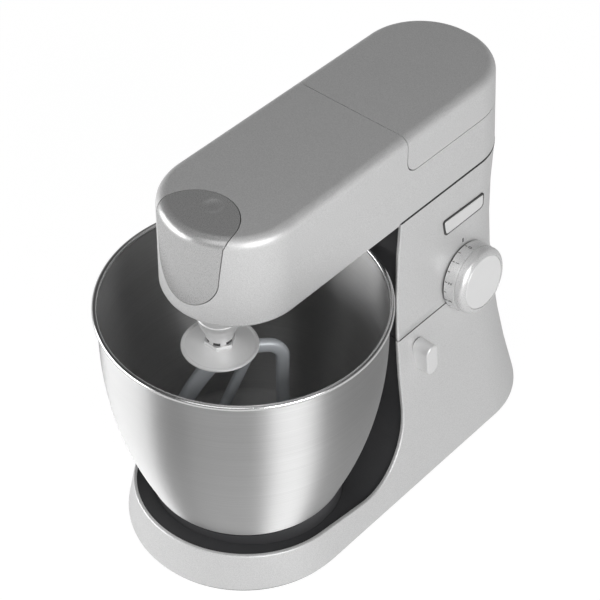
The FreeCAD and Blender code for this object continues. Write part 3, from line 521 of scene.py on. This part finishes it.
# Bowl: a spun sheet with a rolled rim
BOWL_R = 119.0
BOWL_ARC_R = 371.0
BOWL_ARC_Z = 205.0
BOWL_BOTTOM = 50.0
BOWL_CORNER = 6.0
BOWL_WALL = 1.2
BOWL_STRAIGHT_Z = 222.0
BOWL_FLOOR_RINGS = (0, 40, 70)
BOWL_WALL_STEPS = 40
BOWL_TURN_STEPS = 224
BEAD_R = 2.3
BEAD_Z = 240.9
BEAD_OUT = 1.2
BEAD_UNDER = 0.15


def bowl_wall(inset):
    low = BOWL_BOTTOM + BOWL_CORNER
    edge = []
    for i in range(BOWL_WALL_STEPS + 1):
        height = low + (BOWL_ARC_Z - low) * i / BOWL_WALL_STEPS
        across = math.sqrt((BOWL_ARC_R - inset) ** 2 - (BOWL_ARC_Z - height) ** 2)
        edge.append((BOWL_R - BOWL_ARC_R + across, height))
    bend_centre = (edge[0][0] - BOWL_CORNER + inset, low)
    bend = arc_points(bend_centre, BOWL_CORNER - inset, -90, 0, 8)[:-1]
    return [(radius, BOWL_BOTTOM + inset) for radius in BOWL_FLOOR_RINGS] + bend + edge


def make_bowl():
    bead_centre = (BOWL_R + BEAD_OUT, BEAD_Z)
    bead = arc_points(bead_centre, BEAD_R - BEAD_UNDER, -115, 205, 26)
    outer = bowl_wall(0) + [(BOWL_R, BOWL_STRAIGHT_Z)]
    inner = [(BOWL_R - BOWL_WALL, BOWL_STRAIGHT_Z)] + bowl_wall(BOWL_WALL)[::-1]
    shell = lathe(outer + bead + inner, BOWL_AXIS, steps=BOWL_TURN_STEPS)
    add_mesh("bowl_shell", shell, "bowl", "bowl_steel", ["bowl"])
    polished = lathe(arc_points(bead_centre, BEAD_R, 0, 360, 28)[:-1], BOWL_AXIS, steps=BOWL_TURN_STEPS)
    add_mesh("bowl_rim_bead", polished, "bowl", "bowl_steel", look="rim_polish")


# Blocks spaced round an axis: Step is the angle from one to the next
def ring_of_blocks(look):
    sizes = {"Count": "Int", "Radius": "Float", "Start": "Float", "Step": "Float", "Height": "Float",
             "Wide": "Float", "Deep": "Float", "Tall": "Float"}
    p = Pattern("ring_of_blocks", sizes)
    angle = p.size("Start") + p.node("GeometryNodeInputIndex") * p.size("Step")
    row = p.node("GeometryNodeMeshLine", inputs={"Count": p.size("Count")})
    radius = p.size("Radius")
    spot = p.vector(angle.maths("SINE") * radius, angle.maths("COSINE") * radius, p.size("Height"))
    placed = p.node("GeometryNodeSetPosition", inputs={"Geometry": row, "Position": spot})
    block = p.block(p.size("Wide"), p.size("Deep"), p.size("Tall"))
    turn = p.vector(0.0, 0.0, angle * -1.0)
    p.close({"Points": placed, "Instance": block, "Rotation": turn}, look)
    return p


# Domed screw heads with a cross slot, facing down, one at each given point
HEAD_FACETS = 28
HEAD_TAPER = 0.82
CROSS_REACH = 1.1
CROSS_DEPTH = 0.5


def screw_heads(look):
    p = Pattern("screw_heads", {"Head Radius": "Float", "Head Height": "Float", "Slot Width": "Float"})
    radius, tall, wide = p.size("Head Radius"), p.size("Head Height"), p.size("Slot Width")
    dome = {"Vertices": HEAD_FACETS, "Side Segments": 2, "Depth": tall,
            "Radius Top": radius, "Radius Bottom": radius * HEAD_TAPER}
    crossed = p.node("GeometryNodeMeshCone", inputs=dome)
    for x, y in ((radius * CROSS_REACH, wide), (wide, radius * CROSS_REACH)):
        cut = {0: crossed, 1: p.block(x, y, tall * CROSS_DEPTH)}
        crossed = p.node("GeometryNodeMeshBoolean", {"operation": "DIFFERENCE"}, cut)
    p.close({"Points": p.size("Geometry"), "Instance": crossed}, look)
    return p


# Straight ribs side by side, as on a vent
def vent_ribs(look):
    sizes = {"Count": "Int", "Pitch": "Float", "Wide": "Float", "Long": "Float", "Tall": "Float"}
    p = Pattern("vent_ribs", sizes)
    pitch = p.vector(p.size("Pitch"), 0.0, 0.0)
    row = p.node("GeometryNodeMeshLine", inputs={"Count": p.size("Count"), "Offset": pitch})
    rib = p.block(p.size("Wide"), p.size("Long"), p.size("Tall"))
    p.close({"Points": row, "Instance": rib}, look)
    return p


# Tool: socket, nut, splash disc and beater; turned profiles are (radius, height)
SOCKET = [
    (0, 238), (10.6, 238), (11.4, 238.6), (11.9, 241), (12.6, 244), (14.8, 249), (16.4, 252),
    (17.2, 254.4), (17.4, 257), (17.4, 259), (16.8, 259.6), (16.8, 260.6), (17.4, 261.2), (17.4, 265),
    (16.8, 265.6), (0, 265.6),
]
DISC = [
    (5.9, 229.5), (12, 229.5), (28, 226.6), (30.2, 226.0), (31.3, 226.3), (31.6, 227.2), (31.1, 228.2),
    (30.2, 228.5), (29.2, 228.3), (28.4, 227.9), (15, 230.6), (13.4, 231), (5.9, 231),
]
NUT_LOW = 231.0
NUT_FLANGE = 3.6
NUT_TOP = 238.0
NUT_ACROSS = 23.0
NUT_SIDES = 6
NUT_EDGE = 0.5
COLLAR_FOOT = NUT_LOW + NUT_FLANGE
COLLAR = [
    (0, COLLAR_FOOT - 1), (9.7, COLLAR_FOOT - 1), (10.1, COLLAR_FOOT), (10.1, NUT_TOP - 0.6),
    (9.6, NUT_TOP - 0.1), (0, NUT_TOP - 0.1),
]


def make_tool(blocks):
    socket = lathe(SOCKET, TOOL_AXIS)
    add_mesh("tool_socket_turned", socket, "tool", "steel", ["tool_socket"], "socket_satin")
    disc = lathe(DISC, TOOL_AXIS)
    add_mesh("splash_disc_pressed", disc, "tool", "tool_cast", ["splash_disc"], "disc_satin")
    make_nut(blocks)
    make_beater()


def make_nut(blocks):
    corner = NUT_ACROSS / math.sqrt(3)
    hexagon = arc_points((0, 0), corner, 0, 360, NUT_SIDES)[:-1]
    nut = slab(hexagon, NUT_FLANGE, Matrix.Translation(TOOL_AXIS + UP * NUT_LOW * MM))
    shape = bmesh.new()
    shape.from_mesh(nut)
    shape.from_mesh(lathe(COLLAR, TOOL_AXIS, steps=72))
    shape.to_mesh(nut)
    shape.free()
    smooth(nut, 30)
    add_mesh("lock_nut_faced", finished(nut, NUT_EDGE), "tool", "steel", ["lock_nut"], "socket_satin")
    # Dark blocks on the collar: painted shade standing in for the recesses of the nut's spanner slots
    slot_shade = blocks.grown({
        "Count": NUT_SIDES, "Radius": 10.2 * MM, "Start": math.pi / NUT_SIDES,
        "Step": 2 * math.pi / NUT_SIDES, "Height": (COLLAR_FOOT + 1.5) * MM,
        "Wide": 5.6 * MM, "Deep": 0.8 * MM, "Tall": 2.0 * MM,
    })
    slot_shade.transform(Matrix.Translation(TOOL_AXIS))
    add_mesh("lock_nut_painted_slot_shade", slot_shade, "tool", "charcoal", look="dark_print_and_painted_shade")


# Beater bars lie in one upright plane, as (distance from the axis, height)
BEATER_TURN = math.radians(52)
BEATER_LOOP = [
    (0, 219.7), (18, 220.2), (36, 219.7), (44, 217.6), (49.6, 211), (50.7, 203), (50.7, 172), (50.7, 140),
    (47.2, 105.5), (39, 80.2), (26.6, 68.3), (9, 63.3), (-9, 63.3), (-26.6, 68.3), (-37.5, 80.2),
    (-45.2, 105.5), (-48.7, 132),
]
BEATER_ARM = [(-48.7, 130), (-36, 157), (-20, 188), (0, 217)]
BEATER_STRUT = [(26, 219.7), (8, 173), (-12, 120), (-30.5, 72.5)]
BEATER_NECK = [
    (0, 205), (6, 206), (9, 210), (10.4, 218), (10.4, 224.4), (9, 229.4), (5.9, 229.6), (5.9, 238), (0, 238),
]
BAR_SIDES = 16
BAR_SQUARENESS = 0.7
MELT_SIZE = 0.9
SOFTEN_ROUNDS = 16


def smooth_path(points, per_span=6):
    """Catmull-Rom points through a list of 2-D points."""
    ends = [points[0]] + points + [points[-1]]
    path = []
    for a, b, c, d in zip(ends, ends[1:], ends[2:], ends[3:]):
        for i in range(per_span):
            t = i / per_span
            path.append(tuple(
                0.5 * (2 * b[k] + (c[k] - a[k]) * t + (2 * a[k] - 5 * b[k] + 4 * c[k] - d[k]) * t * t
                       + (3 * b[k] - a[k] - 3 * c[k] + d[k]) * t ** 3) for k in (0, 1)
            ))
    return path + [points[-1]]


def bar_along(shape, path, wide, thick):
    """Closed bar of rounded section along a path in the beater's plane, added to a bmesh.

    Wide gives half the width at each share of the length, and thick is half the thickness."""
    along = Vector((math.cos(BEATER_TURN), math.sin(BEATER_TURN), 0))
    across = Vector((-along.y, along.x, 0))
    rings = []
    for i, (s, z) in enumerate(path):
        before = path[max(i - 1, 0)]
        after = path[min(i + 1, len(path) - 1)]
        heading = Vector((after[0] - before[0], after[1] - before[1])).normalized()
        side = along * -heading.y + UP * heading.x
        centre = TOOL_AXIS + (along * s + UP * z) * MM
        half = wide(i / (len(path) - 1))
        ring = []
        for k in range(BAR_SIDES):
            a = 2 * math.pi * k / BAR_SIDES
            u, v = [math.copysign(abs(part) ** BAR_SQUARENESS, part) for part in (math.cos(a), math.sin(a))]
            ring.append(shape.verts.new(centre + (side * half * u + across * thick * v) * MM))
        rings.append(ring)
    for low, high in zip(rings, rings[1:]):
        for k in range(BAR_SIDES):
            j = (k + 1) % BAR_SIDES
            shape.faces.new((low[k], low[j], high[j], high[k]))
    shape.faces.new(rings[0][::-1])
    shape.faces.new(rings[-1])


def make_beater():
    shape = bmesh.new()
    bar_along(shape, smooth_path(BEATER_LOOP), lambda t: 6.4 - 0.8 * math.sin(math.pi * t), 4.6)
    bar_along(shape, smooth_path(BEATER_ARM), lambda t: 5.8 + 2.4 * t, 4.8)
    bar_along(shape, smooth_path(BEATER_STRUT), lambda t: 4.4, 4.0)
    shape.from_mesh(lathe(BEATER_NECK, TOOL_AXIS, steps=48))
    helper = linked("beater_helper", closed_mesh("beater_bars", shape))
    melt = helper.modifiers.new("melt", "REMESH")
    melt.mode = "VOXEL"
    melt.voxel_size = MELT_SIZE * MM
    soften = helper.modifiers.new("soften", "SMOOTH")
    soften.iterations = SOFTEN_ROUNDS
    cast = baked(helper)
    smooth(cast, 60)
    add_mesh("beater_cast", cast, "tool", "tool_cast", ["beater"])


# Speed knob: drum, bevelled rim, bright face and a printed scale
KNOB_SEAT = Vector((67.487, BOWL_Y + 209.6, 170.2)) * MM
KNOB_OUT = Vector((1, 0, 0.12406)).normalized()
KNOB_FRAME = Matrix.Translation(KNOB_SEAT) @ turned_to(BACK, KNOB_OUT.cross(BACK), KNOB_OUT)
KNOB_R = 31.5
KNOB_DRUM = [
    (0, -22), (4, -22), (4, 1.9), (30.9, 1.9), (KNOB_R, 2.5), (KNOB_R, 12.3), (31.1, 12.9), (30.2, 13.1),
    (30.2, 13.8), (30.7, 14.1), (30.9, 14.6), (30.9, 17.4), (30.6, 18.7), (29.9, 19.9), (28.9, 20.7),
    (26.5, 22.3), (25.8, 22.5), (25.3, 22.2), (25.2, 21.3), (0, 21.3),
]
KNOB_FACE = [(0, 21.3), (24.9, 21.3), (24.9, 21.9), (24.4, 22.25), (18, 22.1), (8, 21.95), (0, 21.9)]
SCALE_STEP = math.radians(-35)
SCALE_TOP = 6
DIGIT_SIZE = 5.2
DIGIT_HEIGHT = 8.6
PRINT_T = 0.12
POINTER_LOW = 204.4
POINTER_HIGH = 208.6
POINTER_HALF = 0.9
POINTER_PROUD = 0.15
POINTER_T = 0.4


def make_knob(blocks):
    drum = lathe(KNOB_DRUM, KNOB_SEAT, KNOB_OUT)
    add_mesh("speed_knob_turned", drum, "knob", "silver_plastic", ["speed_knob"])
    face = lathe(KNOB_FACE, KNOB_SEAT, KNOB_OUT)
    add_mesh("knob_face_disc", face, "knob", "chrome", ["knob_cap"], "knob_face")
    ticks = blocks.grown({
        "Count": 2 * SCALE_TOP + 1, "Radius": KNOB_R * MM, "Start": 0.0, "Step": SCALE_STEP / 2,
        "Height": 4.2 * MM, "Wide": 0.7 * MM, "Deep": 0.3 * MM, "Tall": 2.2 * MM,
    })
    ticks.transform(KNOB_FRAME)
    add_mesh("knob_scale_ticks", ticks, "knob", "charcoal", look="dark_print_and_painted_shade")
    make_digits()
    make_pointer()


def digit_mesh(text, angle):
    """One numeral laid round the drum, its top towards the housing."""
    curve = bpy.data.curves.new("numeral", "FONT")
    curve.body = text
    curve.size = DIGIT_SIZE * MM
    curve.align_x = "CENTER"
    curve.align_y = "CENTER"
    curve.extrude = PRINT_T * MM
    mesh = baked(linked("numeral_helper", curve))
    for vertex in mesh.vertices:
        u, v, w = vertex.co
        turn = angle + u / (KNOB_R * MM)
        far = (KNOB_R + PRINT_T) * MM + w
        vertex.co = (far * math.sin(turn), far * math.cos(turn), DIGIT_HEIGHT * MM - v)
    return mesh


def make_digits():
    shape = bmesh.new()
    for number in range(SCALE_TOP + 1):
        shape.from_mesh(digit_mesh(str(number), SCALE_STEP * number))
    mesh = bpy.data.meshes.new("numerals")
    shape.to_mesh(mesh)
    shape.free()
    mesh.transform(KNOB_FRAME)
    add_mesh("knob_scale_numbers", mesh, "knob", "charcoal", look="dark_print_and_painted_shade")


def make_pointer():
    """Printed line on the housing above the knob, which the scale turns past."""
    mid = KNOB_SEAT.y / MM
    corners = ((POINTER_LOW, -POINTER_HALF), (POINTER_LOW, POINTER_HALF),
               (POINTER_HIGH, POINTER_HALF), (POINTER_HIGH, -POINTER_HALF))
    front = [(half_at(z) + POINTER_PROUD, mid + y, z) for z, y in corners]
    back = [(x - POINTER_T, y, z) for x, y, z in front]
    pointer = closed_mesh("pointer", prism(back, front))
    add_mesh("knob_pointer_line", pointer, "head", "charcoal", look="dark_print_and_painted_shade")


# Bare plate on the side of the housing: bright face on a dark backing
BADGE_Y = BOWL_Y + 182.0
BADGE_L = 54.0
BADGE_Z = 228.0
BADGE_H = 15.0
BADGE_T = 1.6
BADGE_SLANT = 3
BADGE_DROP = 2
BADGE_ROUNDS = (3.2, 3.2, 5.5, 2.2)
BADGE_ROUND_STEPS = 6
BADGE_SUNK = 0.6
BADGE_EDGE = 0.9
BACKING_GROW = 1.1
BACKING_T = 1.9
BACKING_EDGE = 0.3


def badge_outline(grow):
    """Slanted plate with round corners, in its own plane."""
    corners = [
        (-grow, BADGE_H + grow), (BADGE_SLANT - grow, -grow), (BADGE_L + grow, -grow),
        (BADGE_L + grow, BADGE_H - BADGE_DROP + grow),
    ]
    edge = []
    for i, (corner, radius) in enumerate(zip(corners, BADGE_ROUNDS)):
        here = Vector(corner)
        before = (Vector(corners[i - 1]) - here).normalized()
        after = (Vector(corners[(i + 1) % len(corners)]) - here).normalized()
        for k in range(BADGE_ROUND_STEPS + 1):
            t = k / BADGE_ROUND_STEPS
            edge.append(tuple(here + before * radius * (1 - t) ** 2 + after * radius * t * t))
    return edge


def make_badge():
    mid = BADGE_Z + BADGE_H / 2
    slope = (half_at(mid + 1) - half_at(mid - 1)) / 2
    out = Vector((1, 0, -slope)).normalized()
    rise = out.cross(BACK)
    corner = Vector((half_at(mid), BADGE_Y, mid)) * MM - rise * BADGE_H / 2 * MM
    place = Matrix.Translation(corner - out * BADGE_SUNK * MM) @ turned_to(BACK, rise, out)
    backing = finished(slab(badge_outline(BACKING_GROW), BACKING_T, place), BACKING_EDGE)
    add_mesh("badge_backing", backing, "head", "charcoal", look="dark_print_and_painted_shade")
    face = finished(slab(badge_outline(0), BADGE_T + BADGE_SUNK, place), BADGE_EDGE)
    add_mesh("badge_face", face, "head", "chrome", ["badge_plate"], "badge_bright")


# Head release lever: a round-ended key that leans back with the column
LEVER_LEAN = math.radians(-7)
LEVER_HALF_W = 7.15
LEVER_HALF_L = 17.0
LEVER_EDGE = 1.3
LEVER_STEPS = 24


def make_lever():
    low, high = [Vector(corner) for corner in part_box("release_lever")]
    middle = (low + high) / 2
    back = Vector((0, math.cos(LEVER_LEAN), -math.sin(LEVER_LEAN)))
    rise = Vector((0, math.sin(LEVER_LEAN), math.cos(LEVER_LEAN)))
    place = Matrix.Translation((low.x, middle.y, middle.z)) @ turned_to(back, rise, RIGHT)
    straight = LEVER_HALF_L - LEVER_HALF_W
    top = arc_points((0, straight), LEVER_HALF_W, 0, 180, LEVER_STEPS)
    bottom = arc_points((0, -straight), LEVER_HALF_W, 180, 360, LEVER_STEPS)
    key = slab(top + bottom, (high.x - low.x) / MM, place)
    smooth(key, 40)
    key = finished(key, LEVER_EDGE)
    add_mesh("release_lever_key", key, "lever", "silver_plastic", ["release_lever"], "lever_satin")


# Dark rubber strips in the seams and round the foot of the base; their dark colour is partly painted shade
# in the seam gaps and a painted shadow line under the base
BASE_EDGE = [(1.6, FOOT_H + 0.3), (1.6, 1.4), (2.0, 1.0), (4.6, 1.0), (4.6, FOOT_H + 0.3)]
SEAL_PROUD = 0.12
SEAL_DEEP = 2.6
SEAL_LIP = 0.35
SEAL_ROOM = 0.05
SEAL_ROOM_MOVING = 0.15
NECK_SEAL_START = COLUMN_FRONT_Y + 6


def seal_profile(low, high, lip_down, lip_up):
    """Wedge that fills a seam and laps over the edges that don't move against it."""
    return [(-SEAL_PROUD, low - lip_down), (-SEAL_PROUD, high + lip_up), (SEAL_DEEP, high), (SEAL_DEEP, low)]


def make_seals():
    base = plan(BASE_HALF, BASE_FRONT, BASE_REAR, BASE_CORNER, steps=32)
    # Dark strip round the foot: a painted shadow line under the base's edge
    add_mesh("base_edge_seal_and_shadow_line", strip(base, BASE_EDGE, True), "base", "black_rubber")

    neck = plan(NECK_HALF, NECK_FRONT, NECK_REAR, NECK_CORNER, steps=24)
    back = [point for point in neck if point[1] > COLUMN_FRONT_Y]
    line = [(-NECK_HALF, NECK_SEAL_START)] + back + [(NECK_HALF, NECK_SEAL_START)]
    # Dark strip in the neck seam, standing a little proud: painted seam shade
    profile = seal_profile(NECK_Z - NECK_GAP + SEAL_ROOM, NECK_Z - SEAL_ROOM, SEAL_LIP, SEAL_LIP)
    add_mesh("neck_seal_and_seam_shade", strip(line, profile, False), "head", "black_rubber")

    low, high = SEAM_Z - SEAM_GAP / 2 + SEAL_ROOM, SEAM_Z + SEAM_GAP / 2 - SEAL_ROOM_MOVING
    profile = seal_profile(low, high, 2 * SEAL_LIP, 0.0)
    half = half_at(SEAM_Z)
    right = [(half, KNUCKLE_FRONT_Y), (half, COLUMN_FRONT_Y)]
    left = [(-half, COLUMN_FRONT_Y), (-half, KNUCKLE_FRONT_Y)]
    # Dark strips in the column seam: painted seam shade
    for side, line in (("right", right), ("left", left)):
        add_mesh("column_seal_and_seam_shade_" + side, strip(line, profile, False), "base", "black_rubber")


# Underside: screws and a vent in the base plate
SCREW_SPOTS = [(-82, 10), (82, 10), (-30, -86), (30, -86), (-84, 215), (84, 215), (0, 296), (0, 60)]
SCREW_HEAD_H = 1.6
VENT_Y = BOWL_Y + 205
VENT_Z = FOOT_H - 0.7
VENT_RIBS = 11
VENT_PITCH = 7.0


def make_underside():
    heads = screw_heads(LOOKS["steel"]).grown(
        {"Head Radius": 3.4 * MM, "Head Height": SCREW_HEAD_H * MM, "Slot Width": 0.9 * MM},
        [(x, BOWL_Y + y, FOOT_H - SCREW_HEAD_H) for x, y in SCREW_SPOTS],
    )
    add_mesh("base_screw_heads", heads, "base", "steel")
    ribs = vent_ribs(LOOKS["charcoal"]).grown({
        "Count": VENT_RIBS, "Pitch": VENT_PITCH * MM, "Wide": 3.0 * MM, "Long": 52.0 * MM, "Tall": 1.6 * MM,
    })
    first = Vector((-VENT_PITCH * (VENT_RIBS - 1) / 2, VENT_Y, VENT_Z))
    ribs.transform(Matrix.Translation(first * MM))
    add_mesh("base_vent_ribs", ribs, "base", "charcoal")


BEVELLED = {"head_tray": 0.9}
OWN_LOOK = {"front_outlet_cover": "nose_satin"}
REMADE = {"bowl", "tool_socket", "splash_disc", "lock_nut", "beater", "speed_knob", "knob_cap",
          "badge_plate", "release_lever"}

dark_blocks = ring_of_blocks(LOOKS["dark_print_and_painted_shade"])
make_bowl()
make_tool(dark_blocks)
make_knob(dark_blocks)
make_badge()
make_lever()
make_seals()
make_underside()
for node in sorted(set(BODY_OF) - REMADE):
    shell = skin(node, bevel=BEVELLED.get(node, 0.0))
    add_mesh(node + "_finished", shell, BODY_OF[node], SLOT_OF[node], [node], OWN_LOOK.get(node))


# Studio: pale floor, soft light, the photograph's camera
FLOOR_SPAN = 12
FLOOR_GLOW = 1.07
FLOOR_TO_EYE = 0.9
FLOOR_TO_METAL = 0.3
ROOM_LIGHT = 0.5
ROOM_FRONT_DIM = 0.25
ROOM_ENDS = (1.0, 0.1)
ROOM_LEVELS = ((0.5, 1.0), (0.6, 0.8), (0.72, 0.28), (0.82, 0.14))
WHITE = (1, 1, 1, 1)
LENS = 113.67
SENSOR = 36
LENS_SHIFT = (0.0125, -0.0012)
CAMERA_TARGET = Vector((0, BOWL_Y + 59.71, 201.38)) * MM
CAMERA_SPIN = math.radians(41.59)
CAMERA_LIFT = math.radians(42.84)
CAMERA_AWAY = 1588.9


def make_floor():
    bpy.ops.mesh.primitive_plane_add(size=FLOOR_SPAN, location=(0, 0, 0))
    floor = bpy.context.object
    floor.name = "studio_floor"

    def describe(f):
        seen, shiny, clear = f.ray("Is Camera Ray"), f.ray("Is Glossy Ray"), f.ray("Is Transmission Ray")
        mottle = f.noise(f.place(), 3.0)
        matt = f.node("ShaderNodeBsdfDiffuse", inputs={"Color": f.shades(mottle, grey(0.84), grey(0.86))})
        glow = f.node("ShaderNodeEmission", inputs={"Color": WHITE, "Strength": FLOOR_GLOW})
        share = seen * FLOOR_TO_EYE + shiny * FLOOR_TO_METAL + clear
        mixed = f.node("ShaderNodeMixShader", inputs={0: share, 1: matt, 2: glow})
        f.node("ShaderNodeOutputMaterial", inputs={"Surface": mixed})

    floor.data.materials.append(material("studio_floor", describe))


def make_world():
    """White to the eye; for light, a room that is pale at eye level, dimmer in front and overhead."""
    world = bpy.data.worlds.new("studio")
    bpy.context.scene.world = world
    world.use_nodes = True
    f = Finish(world.node_tree)
    seen, clear = f.ray("Is Camera Ray"), f.ray("Is Transmission Ray")
    way = f.node("ShaderNodeTexCoord", output="Generated")
    x, y, z = [f.node("ShaderNodeSeparateXYZ", inputs={0: way}, output=axis) for axis in "XYZ"]
    dome = f.ramp(z * 0.5 + 0.5, ROOM_ENDS, ROOM_LEVELS)
    front = x * 0.34 - y * 0.94
    dim = front.maths("MAXIMUM", 0.0) ** 2.0
    light = ROOM_LIGHT - dim * ROOM_FRONT_DIM
    soft = f.node("ShaderNodeBackground", inputs={"Color": dome, "Strength": light})
    white = f.node("ShaderNodeBackground", inputs={"Color": WHITE, "Strength": 1.0})
    mixed = f.node("ShaderNodeMixShader", inputs={0: seen + clear, 1: soft, 2: white})
    f.node("ShaderNodeOutputWorld", inputs={"Surface": mixed})


def add_lamp(name, place, aim, size, power):
    lamp = bpy.data.lights.new(name, "AREA")
    lamp.shape = "RECTANGLE"
    lamp.size, lamp.size_y = size
    lamp.energy = power
    held = linked(name, lamp)
    held.location = place
    held.rotation_euler = (Vector(aim) - Vector(place)).to_track_quat("-Z", "Y").to_euler()


def make_camera():
    lens = bpy.data.cameras.new("camera")
    lens.lens = LENS
    lens.sensor_width = SENSOR
    lens.shift_x, lens.shift_y = LENS_SHIFT
    camera = linked("camera", lens)
    level = math.cos(CAMERA_LIFT)
    away = Vector((math.sin(CAMERA_SPIN) * level, -math.cos(CAMERA_SPIN) * level, math.sin(CAMERA_LIFT)))
    camera.location = CAMERA_TARGET + away * CAMERA_AWAY * MM
    camera.rotation_euler = (-away).to_track_quat("-Z", "Y").to_euler()
    bpy.context.scene.camera = camera


make_floor()
make_world()
add_lamp("key_right", (1.9, -0.6, 1.0), (0, 0, 0.15), (1.2, 1.3), 28)
add_lamp("key_left", (-1.5, -1.4, 0.5), (0, 0, 0.12), (2.0, 1.0), 30)
add_lamp("top_soft", (0.1, 0.2, 2.2), (0, 0, 0.2), (1.6, 1.6), 3)
add_lamp("front_fill", (0.5, -1.3, 1.6), (0, -0.1, 0.2), (1.2, 1.2), 6)
make_camera()
bpy.context.scene.view_settings.view_transform = "Standard"
